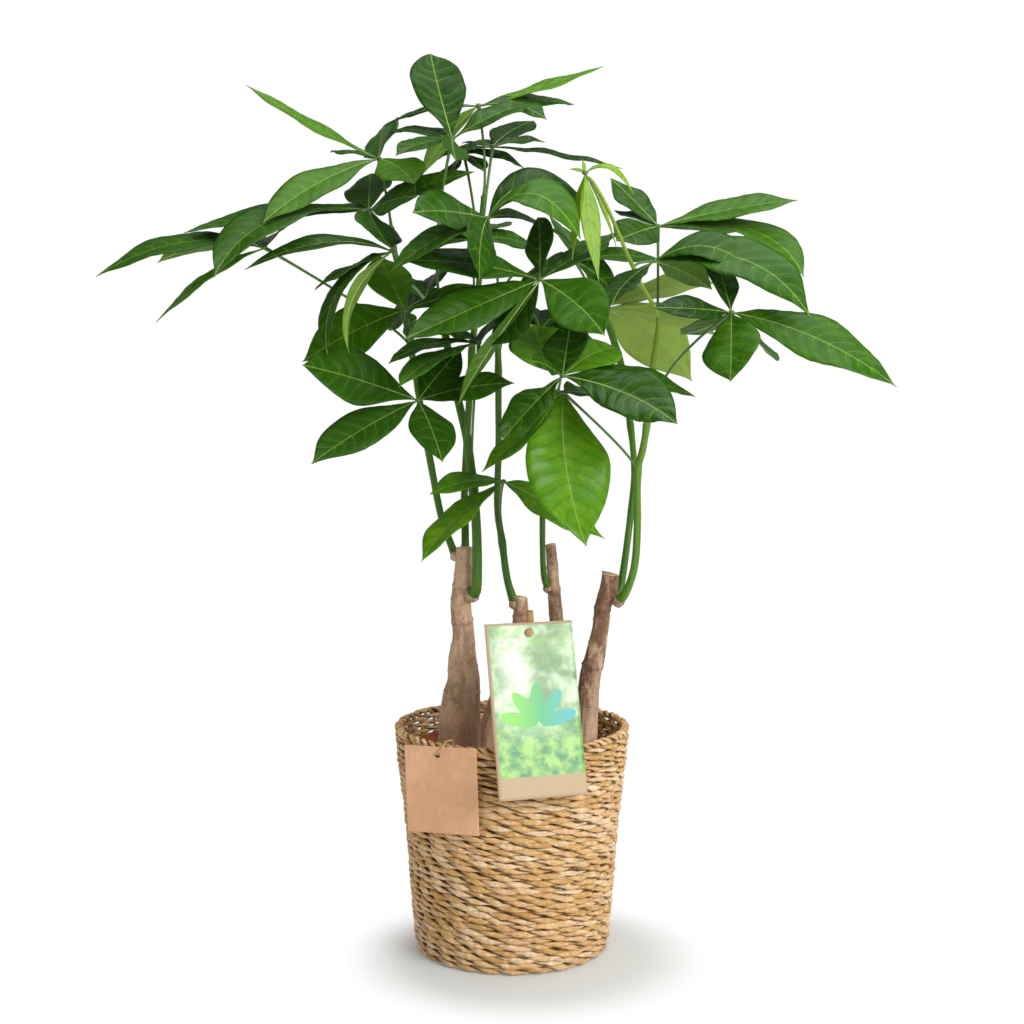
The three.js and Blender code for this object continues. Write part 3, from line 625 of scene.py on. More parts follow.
def build_leaf_top(tree):
    place = object_place(tree)
    tone, gloss, _ = mark(tree, "look")
    rib, veins = veined(tree, 0.026, 0.06)
    patch = blotched(tree, place, 55.0)
    fine = cloud(tree, place, 420.0, 3, 0.6)
    nearest = calc(tree, "PINGPONG", mark(tree, "vein")[1], 0.5)
    green = ramp(tree, plus(tree, tone, scaled(tree, patch, 0.14, -0.07)), [
        (0.0, (24, 56, 9)), (0.35, (46, 90, 12)), (0.7, (80, 130, 16)), (1.0, (134, 170, 28))])
    mottled = mix(tree, step(tree, fine, 0.45, 0.8, 0, 0.2), green, (88, 128, 30))
    between = mix(tree, step(tree, nearest, 0.3, 0.5, 0, 0.22), mottled, (16, 44, 6))
    body = coats(tree, between, (veins, 0.44, (116, 156, 50)), (rib, 0.6, (130, 166, 68)))
    rough = plus(tree, scaled(tree, gloss, -0.1, 0.45), times(tree, patch, 0.07))
    relief = scaled(tree, veins, -0.8, times(tree, fine, 0.3))
    return {"Coat Weight": times(tree, gloss, 0.24), **surface(body, rough, relief, 0.3, 0.0006)}


def build_leaf_under(tree):
    rib, veins = veined(tree, 0.04, 0.08)
    patch = blotched(tree, object_place(tree), 60.0)
    tone = plus(tree, mark(tree, "look")[0], scaled(tree, patch, 0.12, -0.06))
    green = ramp(tree, tone, [(0.0, (56, 90, 32)), (0.5, (96, 136, 48)), (1.0, (146, 168, 78))])
    body = coats(tree, green, (veins, 0.35, (150, 176, 96)), (rib, 0.7, (146, 174, 92)))
    return surface(body, scaled(tree, patch, 0.1, 0.55), veins, 0.4, 0.0006)


def build_stalk(tree):
    place = object_place(tree)
    streaks = streaked(tree, place, (500, 500, 90))
    green = mix(tree, blotched(tree, place, 24.0), (84, 122, 40), (50, 90, 28))
    body = coats(tree, green, (streaks, 0.35, (106, 128, 58)))
    return surface(body, scaled(tree, streaks, 0.12, 0.42), streaks, 0.2, 0.0003)


def build_leaf_rib(tree):
    """The pale raised midrib under a blade."""
    streaks = streaked(tree, object_place(tree), (300, 300, 300))
    body = mix(tree, streaks, (122, 152, 70), (150, 174, 98))
    return {"Base Color": body, "Roughness": scaled(tree, streaks, 0.1, 0.5)}


SOFT_GREEN = {"Subsurface_Weight": 0.1, "Subsurface_Scale": 0.001, "Subsurface_Radius": (0.4, 1.0, 0.1),
              "Specular_IOR_Level": 0.07}
LEAF_RIB = finish_material("leaf_rib", build_leaf_rib)
LEAF_TOP = finish_material("leaf_top", build_leaf_top, Coat_Roughness=0.24, **SOFT_GREEN)
LEAF_UNDER = finish_material("leaf_under", build_leaf_under, **SOFT_GREEN)
STALK_GREEN = finish_material("leaf_stalk", build_stalk)


# ---------------------------------------------------------------- leaves


def facing(line, turn):
    """The direction that a blade's upper side faces: skyward, turned about its line to the front."""
    up = (SKY - line * SKY.dot(line)).normalized()
    side = line.cross(up)
    if side.y > 1e-6:
        side.negate()
    angle = math.radians(turn)
    return up * math.cos(angle) + side * math.sin(angle)


def bent(start, bend, end, share):
    """A place and a direction on a line that leaves start towards bend and comes to end."""
    rest = 1 - share
    place = start * rest * rest + bend * 2 * rest * share + end * share * share
    run = (bend - start) * rest + (end - bend) * share
    return place, run.normalized()


def outline(share, look):
    """The half width of a blade along its midrib, as a share of the widest."""
    if share <= look.widest:
        return math.sin(math.pi / 2 * share / look.widest) ** look.base
    gone = (share - look.widest) / (1 - look.widest)
    return max(0, math.cos(math.pi / 2 * gone)) ** (look.tip + 0.5 * gone ** 2)


def add_blade(bm, hub, leaflet, look, chance):
    """Adds one leaflet: folded at its midrib, puckered between its side veins, waved at its margin."""
    tip, bow, width, turn = leaflet[:4]
    tip = Vector(tip)
    bend = (hub + tip) / 2 + 2 * Vector(bow)
    length = (tip - hub).length
    face = facing((tip - hub).normalized(), turn)
    pairs = min(12, max(5, round(length / BLADE["vein_space"])))
    wave = look.wave * chance.uniform(0.6, 1.3)
    cycles = chance.uniform(1.6, 2.8)
    starts = (chance.uniform(0, TURN), chance.uniform(0, TURN))
    curl = chance.uniform(0.02, 0.12)
    lean = chance.uniform(-0.05, 0.05)
    tone = min(1, max(0, look.tone + chance.uniform(-0.08, 0.08)))
    own = chance.uniform(0, 50)
    vein_layer = bm.verts.layers.float_color["vein"]
    look_layer = bm.verts.layers.float_color["look"]
    placed = add_grid(bm, BLADE["columns"], BLADE["rows"])
    for vert, across, share in placed:
        side = 2 * across - 1
        reach = abs(side)
        place, run = bent(hub, bend, tip, share)
        up = (face - run * face.dot(run)).normalized()
        half = width / 2 * outline(share, look) * (1 + lean * (1 if side > 0 else -1))
        uneven = noise.noise(Vector((share * 5, side * 1.5, own)))
        phase = pairs * (share - 0.13 * reach ** 1.4) + 0.3 * side + 0.5 * uneven
        swell = (0.5 - 0.5 * math.cos(TURN * phase)) * 4 * reach * (1 - 0.85 * reach)
        swell *= max(0.15, 0.7 + 1.3 * noise.noise(Vector((share * 4, side * 2, own + 9))))
        flat = min(1, half / 9)
        ripple = math.sin(TURN * cycles * share + starts[side > 0])
        rise = half * reach * (BLADE["fold"] - curl * reach * reach)
        rise += flat * (look.pucker * swell + wave * ripple * reach * reach)
        vert.co = (place + run.cross(up) * side * half + up * rise) * MM
        vert[vein_layer] = (half * reach / 10, phase, share, 1)
        vert[look_layer] = (tone, look.gloss, 0, 1)
    weld(bm, placed)
    rib = [bent(hub, bend, tip, i / RIB["points"])[0] for i in range(RIB["points"])]
    return [(place - face * RIB["below"]) * MM for place in rib]


def add_stalk(bm, on, start_at, follow, hub):
    """Adds the leaf's stalk: it leaves its stem along the stem and bends towards the hub."""
    line = [Vector(p) for p in STEMS[on]["line"]]
    start = line[start_at]
    ahead = (line[min(start_at + 1, len(line) - 1)] - line[start_at - 1]).normalized()
    bend = start + ahead * (hub - start).length * follow
    path = []
    radii = []
    for i in range(STALK["steps"] + 1):
        share = i / STALK["steps"]
        thick = STALK["radius"] + (STALK["foot"] - STALK["radius"]) * math.exp(-share * 14)
        thick += (STALK["hub"] - STALK["radius"]) * math.exp(-(1 - share) * 16)
        path.append(bent(start, bend, hub, share)[0] * MM)
        radii.append(thick * MM)
    add_tube(bm, path, radii, STALK["sides"])


def add_knob(bm, place, radius, seed, flat=0.75):
    """Adds a small uneven swelling."""
    made = bmesh.ops.create_icosphere(bm, subdivisions=2, radius=radius)
    for vert in made["verts"]:
        vert.co *= 1 + 0.15 * noise.noise(vert.co.normalized() * 1.7 + Vector((seed, seed, 0)))
        vert.co.z *= flat
        vert.co += place


def make_leaf(name, plan):
    on, start_at, follow, hub, leaf_look, leaflets = plan
    chance = random.Random(name)
    hub = Vector(hub)
    blades = bmesh.new()
    blades.verts.layers.float_color.new("vein")
    blades.verts.layers.float_color.new("look")
    stalk = new_mesh()
    for leaflet in leaflets:
        look = LOOKS[leaflet[4] if len(leaflet) > 4 else leaf_look]
        rib = add_blade(blades, hub, leaflet, look, chance)
        thick = RIB["thick"] if leaflet[2] > RIB["narrow_blade"] else RIB["thin"]
        radii = [thick * (1 - 0.8 * i / len(rib)) * MM for i in range(len(rib))]
        add_tube(stalk, rib, radii, RIB["sides"], material=1)
    if follow > 0:
        add_stalk(stalk, on, start_at, follow, hub)
    add_knob(stalk, hub * MM, STALK["knob"] * MM, chance.random())
    thicken(piece(name + "_blades", blades, [LEAF_TOP, LEAF_UNDER], [name]), BLADE["thickness"], 1)
    piece(name + "_stalk", stalk, [STALK_GREEN, LEAF_RIB], [name])


# ---------------------------------------------------------------- stems


def satin_skin(tree, place, green, strength, paint):
    """A stem's green skin with lengthwise streaks of a lighter colour."""
    streaks = streaked(tree, place, (420, 420, 40))
    body = coats(tree, green, (streaks, strength, paint))
    return surface(body, scaled(tree, streaks, 0.15, 0.4), streaks, 0.25, 0.0004)


def build_stem(tree):
    place = object_place(tree)
    green = mix(tree, blotched(tree, place, 18.0), (78, 122, 22), (50, 90, 14))
    aged = mix(tree, step(tree, axes(tree, place)[2], 0.285, 0.5, 1, 0), green, (52, 98, 16))
    return satin_skin(tree, place, aged, 0.35, (100, 138, 40))


def build_growing_stem(tree):
    """The skin of the stem that still grows: green below, and yellow-green towards its young shoot."""
    place = object_place(tree)
    green = mix(tree, step(tree, axes(tree, place)[2], 0.36, 0.5), (64, 110, 18), (120, 152, 40))
    return satin_skin(tree, place, green, 0.3, (140, 168, 66))


def build_young_stem(tree):
    streaks = streaked(tree, object_place(tree), (500, 500, 60))
    body = mix(tree, streaks, (112, 144, 38), (140, 166, 62))
    return surface(body, scaled(tree, streaks, 0.12, 0.4), streaks, 0.2, 0.0003)


SATIN_SKIN = {"Subsurface_Weight": 0.05, "Subsurface_Scale": 0.001, "Specular_IOR_Level": 0.3}
STEM_GREEN = finish_material("green_stem", build_stem, **SATIN_SKIN)
GROWING_GREEN = finish_material("growing_stem", build_growing_stem, **SATIN_SKIN)
YOUNG_GREEN = finish_material("young_stem", build_young_stem, **SATIN_SKIN)
STEM_SKINS = {"young_shoot": YOUNG_GREEN, "stem_right_front": GROWING_GREEN}
STEM_STEPS = 6
STEM_SIDES = 18


def leaf_nodes(stem_name):
    """The stem points where leaf stalks start, which are swollen a little."""
    return {plan[1] for plan in LEAVES.values() if plan[0] == stem_name and plan[2] > 0}


def make_stem(name, plan):
    line = smooth_line(plan["line"], STEM_STEPS)
    swollen = [index * STEM_STEPS for index in leaf_nodes(name)]
    foot, tip = plan["radii"]
    radii = []
    for i in range(len(line)):
        share = i / (len(line) - 1)
        radius = foot + (tip - foot) * share
        radius *= 1 + 0.22 * sum(math.exp(-((i - spot) / 1.1) ** 2) for spot in swollen)
        if name != "young_shoot":
            radius *= 1 + 0.3 * math.exp(-(i / 4) ** 2)
        if name == "stem_right_front":
            radius *= 1 - 0.3 * max(0, share - 0.75) / 0.25
        radii.append(radius * MM)
    bm = new_mesh()

    def ridges(point, angle, share):
        return 0.05 * MM * math.sin(5 * angle + 9 * share) + 0.2 * MM * noise.noise(point * 60)

    add_tube(bm, [p * MM for p in line], radii, STEM_SIDES, ridges)
    piece(name + "_skin", bm, [STEM_SKINS.get(name, STEM_GREEN)], [name])


# ---------------------------------------------------------------- trunks


def build_bark(tree):
    # The bark attribute's first value is painted shade just below each collar; its second is the trunk's
    # tone.
    collar_shade, tone, _ = mark(tree, "bark")
    place = object_place(tree)
    fissures = streaked(tree, place, (300, 300, 46))
    patch = blotched(tree, stretch(tree, place, (1, 1, 0.45)), 60.0)
    pale = step(tree, grain(tree, place, (90, 90, 34), 3, 0.6), 0.56, 0.66)
    # Paler, redder bark towards the foot: partly the bark's own colour, partly painted light that makes up
    # for the shade inside the basket.
    low = step(tree, axes(tree, place)[2], 0.175, 0.215, 1, 0)
    cracks = step(tree, grain(tree, place, (150, 150, 760), 3, 0.6), 0.6, 0.69)
    specks = step(tree, grain(tree, place, (240, 240, 380), 2, 0.5), 0.64, 0.7)
    # Painted light: each trunk's tone makes its bark lighter or darker, lighter on the left trunk and darker
    # on the right, to even out the light from the right.
    toned = plus(tree, patch, calc(tree, "SUBTRACT", tone, 0.5))
    body = coats(
        tree, mix(tree, toned, (120, 87, 63), (198, 164, 134)),
        (low, 0.85, (240, 200, 168)), (pale, 0.6, (220, 192, 158)),
        (fissures, scaled(tree, low, 0.2, 0.14), (96, 66, 48)), (cracks, 0.42, (84, 60, 42)),
        # Painted shade below each collar, then pale specks.
        (collar_shade, 0.42, (82, 58, 42)), (specks, 0.6, (226, 196, 160)))
    relief = calc(tree, "SUBTRACT", times(tree, specks, 0.6), plus(tree, fissures, cracks))
    return surface(body, scaled(tree, fissures, 0.12, 0.78), relief, 0.5, 0.0012)


def build_cut_wood(tree):
    place = object_place(tree)
    pores = cloud(tree, place, 900.0, 3, 0.6)
    body = mix(tree, blotched(tree, place, 160.0), (214, 188, 150), (160, 128, 94))
    return surface(body, scaled(tree, pores, 0.1, 0.8), pores, 0.5, 0.0006)


BARK = finish_material("bark", build_bark)
CUT_WOOD = finish_material("cut_wood", build_cut_wood)
CUT_EDGE = 1.3  # how far the pale wood of a cut reaches down a trunk's side
TRUNK_STEPS = 22
TRUNK_SIDES = 56
SLANTED = 0.006  # how far down from its cut top a trunk is slanted, in metres


def ring_level(place):
    """The height of a place on a trunk in millimetres, uneven so that rings don't run level."""
    return place.z / MM + 1.6 * noise.noise(place * 180)


def shade_under_collars(place, scars):
    """1 in the painted shade just below each raised collar, and 0 away from it."""
    return min(1, sum(math.exp(-((ring_level(place) - scar + 2.2) / 1.2) ** 2) for scar in scars))


def bark_relief(scars):
    """Bumps, lengthwise ribs that deepen towards the foot, thin rings where leaves once grew, and a
    raised collar at each of the given heights, where the trunk was cut back before."""
    def relief(point, angle, share):
        low = min(1, max(0, (0.215 - point.z) / 0.03))
        outward = on_circle(angle)
        ribs = noise.noise(outward * 5.5 + Vector((0, 0, point.z * 34)))
        bumps = noise.noise(outward * 1.6 + Vector((3, 0, point.z * 55)))
        rings = max(0, math.sin(point.z * 330 + 0.6 * math.sin(angle))) ** 14
        level = ring_level(point + outward * 8 * MM)
        collar = sum(math.exp(-((level - scar) / 1.5) ** 2) for scar in scars)
        return (ribs * (0.35 + 0.55 * low) + 0.7 * bumps + 0.4 * rings * (1 - low) + 0.7 * collar) * MM

    return relief


def make_trunk(name, plan):
    line = smooth_line(plan["line"], TRUNK_STEPS)
    points = [at(p) for p in line]
    radii = [p[3] * MM for p in line]
    bm = new_mesh("bark")
    add_tube(bm, points, radii, TRUNK_SIDES, bark_relief(plan["scars"]))
    top = points[0]
    for vert in bm.verts:
        above = 1 - min(1, (top.z - vert.co.z) / SLANTED)
        if above > 0:
            vert.co.z += above * plan["slant"] * (vert.co.x - top.x)
    for face in bm.faces:
        middle = face.calc_center_median()
        if middle.z > top.z + plan["slant"] * (middle.x - top.x) - CUT_EDGE * MM:
            face.material_index = 1
    for number, (x, y, z, radius) in enumerate(plan["knots"]):
        add_knob(bm, at((x, y, z)), radius * 0.98 * MM, 3.1 * number + x * 0.1, 0.95)
    layer = bm.verts.layers.float_color["bark"]
    for vert in bm.verts:
        vert[layer] = (shade_under_collars(vert.co, plan["scars"]), plan["tone"], 0, 1)
    piece(name + "_bark", bm, [BARK, CUT_WOOD], [name])


# ---------------------------------------------------------------- basket

# A strand's sizes are its half height, its half depth, and how far it sways out and up as it winds.
STRAND = {"sizes": (2.65, 1.9, 1.9, -1.0), "sides": 10, "step": 1.7, "apart": 0.37}
BASKET = {"rows": 35, "low": 3.4, "high": 177.5, "pitch": 18.5, "loose_from": 29, "loose": 0.8}
BANDS = {"basket_wall_low": (0, 12), "basket_wall_middle": (12, 24), "basket_wall_high": (24, 35)}
RIM = {"radius": 92.4, "height": 182.3, "sizes": (2.3, 2.0, 1.5, -1.5), "pitch": 9, "seed": 77}
FLOOR = {"rings": 13, "radius": 72, "spacing": 5.6, "height": 3.1, "sizes": (1.6, 2.4, 1.1, -1.2),
         "seed": 90}
STAKES = {"number": 34, "inset": 5.6, "radius": 1.3, "sides": 6, "heights": (4, 30, 60, 90, 120, 150, 178)}
# The basket's outer radius at each height, in millimetres.
BASKET_SIDE = [(0, 76), (4, 79.5), (10, 80.7), (40, 83.2), (80, 86), (110, 88.5), (150, 93.3), (174, 95.7),
               (186, 96)]


def side_radius(height):
    for (low, first), (high, second) in zip(BASKET_SIDE, BASKET_SIDE[1:]):
        if height <= high:
            return first + (second - first) * (height - low) / (high - low)
    return BASKET_SIDE[-1][1]


def build_seagrass(tree):
    tone, hue, crevice_shade = mark(tree, "strand")
    each = add(tree, "CombineXYZ", {2: times(tree, hue, 60)}).outputs[0]
    place = vector_calc(tree, "ADD", map_place(tree), each)
    streaks = streaked(tree, place, (16, 90, 1))
    # Painted highlights: small near-white glints along the fibres.
    painted_glints = step(tree, grain(tree, place, (9, 110, 1), 2, 0.5), 0.54, 0.66)
    straw = ramp(tree, tone, [
        (0.0, (146, 103, 38)), (0.3, (196, 148, 76)), (0.65, (228, 186, 124)), (1.0, (252, 236, 210))])
    fibrous = coats(
        tree, straw,
        (step(tree, hue, 0.6, 0.9), 0.35, (234, 182, 146)), (step(tree, hue, 0.3, 0.1), 0.25, (182, 160, 88)),
        (streaks, 0.5, (142, 94, 44)), (painted_glints, 0.4, (252, 238, 216)))
    # Painted shade: each strand turns deep brown on the side that faces the other strand and the row's core,
    # where the lozenges meet.
    body = mix(tree, step(tree, crevice_shade, 0.48, 0.84, 0, 0.88), fibrous, (74, 43, 13))
    return surface(body, scaled(tree, streaks, 0.22, 0.44), times(tree, streaks, -1), 0.5, 0.0007)


SEAGRASS = finish_material("seagrass", build_seagrass, Specular_IOR_Level=0.35)
LOWEST = 0.1 * MM  # strands are pressed flat just over the floor


def add_strand(bm, centre_of, turns, first, sizes, seed, count):
    """Adds one closed strand that winds about a ring. centre_of(angle) gives a point of the ring and
    the direction out of it; turns is how often the strand winds about it."""
    tall, deep, sway_out, sway_up = sizes
    layer = bm.verts.layers.float_color["strand"]
    placed = add_grid(bm, STRAND["sides"], count)
    chance = random.Random(f"strand {seed:.2f}")
    fibres = [(chance.uniform(0.38, 0.82), chance.uniform(0.1, 0.9), chance.uniform(0.82, 1.12))
              for _ in range(turns)]
    rows = []
    for i in range(count + 1):
        around = (i % count) / count * TURN
        where = on_circle(around) + UP * seed
        wind = turns * around + first + 0.9 * noise.noise(where * 4.3) + 0.6 * noise.noise(where * 13)
        centre, out = centre_of(around)
        tone, hue, size = fibres[round(wind / TURN) % turns]
        shown = 0.5 + 0.5 * math.cos(wind)
        size = 1 + (size - 1) * min(1, 2 * shown)
        middle = centre + out * sway_out * math.cos(wind) + UP * sway_up * math.sin(wind)
        pinch = 0.66 + 0.34 * math.cos(wind) ** 2
        tone += 0.2 * noise.noise(where * 31 + Vector((0, 5, 0)))
        rows.append((middle, out, tall * size * pinch, deep * size, wind, tone, hue))
    for vert, across, along in placed:
        angle = across * TURN
        middle, out, high, thick, wind, tone, hue = rows[round(along * count)]
        lobes = 1 + 0.07 * math.sin(3 * angle + seed)
        vert.co = (middle + (out * math.cos(angle) * thick - UP * math.sin(angle) * high) * lobes) * MM
        vert.co.z = max(vert.co.z, LOWEST)
        # How far this point faces the other strand and the core; the seagrass material paints this as shade.
        crevice_shade_share = 0.5 - 0.5 * math.cos(angle - wind)
        vert[layer] = (tone, hue, crevice_shade_share, 1)
    weld(bm, placed)


def wall_row(row):
    """The ring that a row of the wall winds about, a little uneven as a hand makes it."""
    share = row / (BASKET["rows"] - 1)
    height = BASKET["low"] + (BASKET["high"] - BASKET["low"]) * share
    inset = STRAND["sizes"][1] + STRAND["sizes"][2]

    def centre_of(around):
        spot = on_circle(around, 1.3) + UP * (row * 0.16)
        level = height + 1.4 * noise.noise(spot) * min(1, row / 2) + 0.5 * noise.noise(spot * 4)
        radius = side_radius(level) - inset + 0.5 * noise.noise(spot * 2.3 + Vector((4, 4, 4)))
        out = on_circle(around)
        return out * radius + UP * level, out

    return centre_of, side_radius(height) - inset


def add_row(bm, centre_of, radius, pitch, sizes, seed):
    """Adds the two strands that twist about each other to make one row. Each row starts where it likes."""
    turns = max(1, round(TURN * radius / (pitch * 2)))
    count = round(TURN * radius / STRAND["step"])
    first = random.Random(f"row {seed:.2f}").uniform(0, TURN)
    for number in (0, 1):
        start = first + TURN * number / 2
        add_strand(bm, centre_of, turns, start, sizes, seed + STRAND["apart"] * number, count)


def basket_piece(name, bm):
    piece(name, bm, [SEAGRASS], ["woven_basket"])


def make_basket_wall():
    tall, *others = STRAND["sizes"]
    for name, (low, high) in BANDS.items():
        bm = new_mesh("strand")
        for row in range(low, high):
            centre_of, radius = wall_row(row)
            loose = BASKET["loose"] if row >= BASKET["loose_from"] else 1
            pitch = BASKET["pitch"] * random.Random(row).uniform(0.9, 1.12)
            add_row(bm, centre_of, radius, pitch, (tall * loose, *others), row * 1.7)
        basket_piece(name, bm)


def make_basket_rim():
    def centre_of(around):
        out = on_circle(around)
        radius = RIM["radius"] + 0.8 * noise.noise(out * 2)
        return out * radius + UP * (RIM["height"] + noise.noise(out * 4)), out

    bm = new_mesh("strand")
    add_row(bm, centre_of, RIM["radius"], RIM["pitch"], RIM["sizes"], RIM["seed"])
    basket_piece("basket_rim", bm)


def make_basket_floor():
    bm = new_mesh("strand")
    for number in range(FLOOR["rings"]):
        radius = FLOOR["radius"] - number * FLOOR["spacing"]

        def centre_of(around, radius=radius):
            out = on_circle(around)
            return out * radius + UP * FLOOR["height"], out

        add_row(bm, centre_of, radius, BASKET["pitch"], FLOOR["sizes"], FLOOR["seed"] + number)
    basket_piece("basket_floor", bm)


def make_basket_stakes():
    """The upright canes that the rows are twined about."""
    bm = new_mesh("strand")
    for number in range(STAKES["number"]):
        out = on_circle(number / STAKES["number"] * TURN)
        line = [(out * (side_radius(h) - STAKES["inset"]) + UP * h) * MM for h in STAKES["heights"]]
        add_tube(bm, line, [STAKES["radius"] * MM] * len(line), STAKES["sides"])
    # Plain tone and hue, and a share of 0.5 for the painted crevice shade, which leaves the stakes almost
    # unshaded.
    fill_layer(bm, "strand", (0.2, 0.4, 0.5, 1))
    basket_piece("basket_stakes", bm)


# ---------------------------------------------------------------- pot and soil

POT = {"base": 60, "top": 79, "lip": 83.5, "lip_low": 157, "height": 166, "wall": 2, "floor": 6.3,
       "sides": 96}
SOIL = {"edge": 148, "crown": 153, "radius": 74.6, "columns": 96, "rows": 30, "edge_down": 6, "crumbs": 420}


def build_pot(tree):
    patch = blotched(tree, object_place(tree), 40.0)
    body = mix(tree, patch, (156, 80, 46), (128, 60, 36))
    return surface(body, scaled(tree, patch, 0.15, 0.45), patch, 0.1, 0.0005)


def build_soil(tree):
    place = object_place(tree)
    patch = blotched(tree, place, 120.0)
    grit = cloud(tree, place, 700.0, 4, 0.7)
    tone = plus(tree, times(tree, patch, 0.5), times(tree, grit, 0.5))
    body = ramp(tree, tone, [(0.2, (24, 15, 10)), (0.55, (62, 42, 28)), (0.85, (112, 82, 56))])
    return surface(body, scaled(tree, grit, 0.1, 0.88), grit, 0.8, 0.002)


POT_PLASTIC = finish_material("pot_plastic", build_pot)
SOIL_BROWN = finish_material("soil", build_soil)


def make_pot():
    base, top, lip, lip_low, height, wall, floor, sides = POT.values()
    profile = [(0, floor), (base - 3, floor), (base, floor + 3), (top, lip_low), (lip - 0.6, lip_low + 0.4),
               (lip, lip_low + 1.2), (lip, height - 1), (lip - 0.5, height), (lip - wall + 0.4, height),
               (lip - wall, height - 1), (lip - wall - 0.4, lip_low + 2.2), (top - wall, lip_low - 1),
               (base - wall, floor + wall), (0, floor + wall)]
    bm = new_mesh()
    lathe(bm, [(r * MM, z * MM) for r, z in profile], sides)
    piece("nursery_pot_shell", bm, [POT_PLASTIC], ["nursery_pot"])


def soil_height(share):
    """The soil's height at this share of the way from its middle to its edge."""
    return SOIL["crown"] - (SOIL["crown"] - SOIL["edge"]) * share ** 2


def make_soil():
    bm = new_mesh()
    for vert, across, share in add_grid(bm, SOIL["columns"], SOIL["rows"]):
        spot = on_circle(across * TURN, SOIL["radius"] * share)
        height = soil_height(share)
        height += 1.6 * noise.noise(spot * 0.12) + 0.9 * noise.noise(spot * 0.45)
        vert.co = (spot + UP * height) * MM
        if share > 0.99:
            vert.co.z -= SOIL["edge_down"] * MM
    bmesh.ops.remove_doubles(bm, verts=bm.verts, dist=1e-6)
    chance = random.Random("soil")
    for _ in range(SOIL["crumbs"]):
        around, radius = chance.uniform(0, TURN), SOIL["radius"] * math.sqrt(chance.random()) * 0.97
        place = on_circle(around, radius)
        height = soil_height(radius / SOIL["radius"])
        size = chance.uniform(0.8, 2.4)
        shape = Matrix.Rotation(chance.uniform(0, TURN), 4, "Z") @ Matrix.Diagonal((1.5, 1, 0.7, 1))
        crumb = bmesh.ops.create_icosphere(bm, subdivisions=1, radius=size * MM, matrix=shape)
        for vert in crumb["verts"]:
            vert.co *= 1 + 0.35 * noise.noise(vert.co * 900 + place)
            vert.co += (place + UP * (height + 0.3)) * MM
    piece("soil_top", bm, [SOIL_BROWN], ["potting_soil"])


# ---------------------------------------------------------------- card, stick, peg, tag and twine

CARD = {"size": (71, 134.5, 1.8), "paper": 1.2, "yaw": 18, "lean": 16, "rest": (29.9, -91.7, 181.1),
        "left": 45, "down": 33.3, "strip": 16.5, "edge": 2.2}
# The leaf printed on the card: the angles of its parts, their common foot, and how far out and how
# large each is.
PRINT = {"angles": (-76, -38, 0, 38, 76), "foot": (37, 56), "out": 16.5, "half_size": (5.5, 15.5)}
PEG = {"radius": 3.2, "left": 35.2, "up": 126.5, "front": 4, "back": 2.2, "sides": 28}
STICK = {"radius": 3, "top": (13.9, -64.7, 287), "foot": (16, -53, 95), "steps": 30, "sides": 20}
TAG = {"size": (61, 68, 0.8), "paper": 0.6, "yaw": -22, "roll": 2, "hole": 2.2,
       "corner": (-81.4, -72.4, 115), "right": 28, "up": 61}
TWINE = {"radius": 0.4, "apart": 0.36, "twist": 0.42, "steps": 14, "sides": 8}
TWINE_OVER = [(-53.4, -87, 183.6), (-51.2, -83.4, 187.7), (-48.5, -78.8, 187.5), (-46.4, -75.2, 187),
              (-45.3, -73.4, 181)]


def card_frame():
    turn = Matrix.Rotation(math.radians(CARD["yaw"]), 4, "Z")
    turn = turn @ Matrix.Rotation(-math.radians(CARD["lean"]), 4, "X")
    corner = Vector(CARD["rest"]) + turn @ Vector((-CARD["left"], 0, -CARD["down"]))
    return Matrix.Translation(corner * MM) @ turn


def tag_frame():
    turn = Matrix.Rotation(math.radians(TAG["yaw"]), 4, "Z")
    turn = turn @ Matrix.Rotation(-math.radians(TAG["roll"]), 4, "Y")
    return Matrix.Translation(at(TAG["corner"])) @ turn


def sheet(bm, size, columns, rows, bulge):
    """Adds a thin sheet that stands on its lower edge, its front to -Y. bulge(x, z) moves it back."""
    width, height, thick = size
    for vert, across, along in add_grid(bm, columns, rows):
        x, z = across * width, along * height
        vert.co = Vector((x, bulge(x, z) - thick, z)) * MM


def oval(tree, place, centre, size, turn, soft=0.06):
    """1 inside an oval with these half sizes, turned by so many degrees, and 0 outside."""
    inputs = {"Vector": place, "Location": (*centre, 0), "Rotation": (0, 0, math.radians(turn)),
              "Scale": (*size, 1)}
    moved = add(tree, "Mapping", inputs, vector_type="TEXTURE").outputs[0]
    far = vector_calc(tree, "LENGTH", stretch(tree, moved, (1, 1, 0)))
    return step(tree, far, 1 - soft, 1, 1, 0)


def print_ground(tree, place, up):
    """The soft pale greens that the leaf is printed on."""
    broad = step(tree, grain(tree, place, (0.03, 0.03, 0), 3, 0.6), 0.4, 0.6)
    fine = step(tree, grain(tree, place, (0.09, 0.09, 0), 4, 0.6), 0.36, 0.64)
    pale = mix(tree, broad, (204, 224, 190), (98, 138, 88))
    upper = coats(tree, pale, (fine, step(tree, up, 84, 126, 0.2, 0.75), (128, 172, 84)))
    lower = mix(tree, fine, (150, 196, 96), (64, 136, 84))
    body = mix(tree, step(tree, up, 34, 78, 1, 0), upper, lower)
    return coats(tree, body, (oval(tree, place, (20, 100), (20, 30), 15, 1.0), 0.6, (240, 246, 228)))


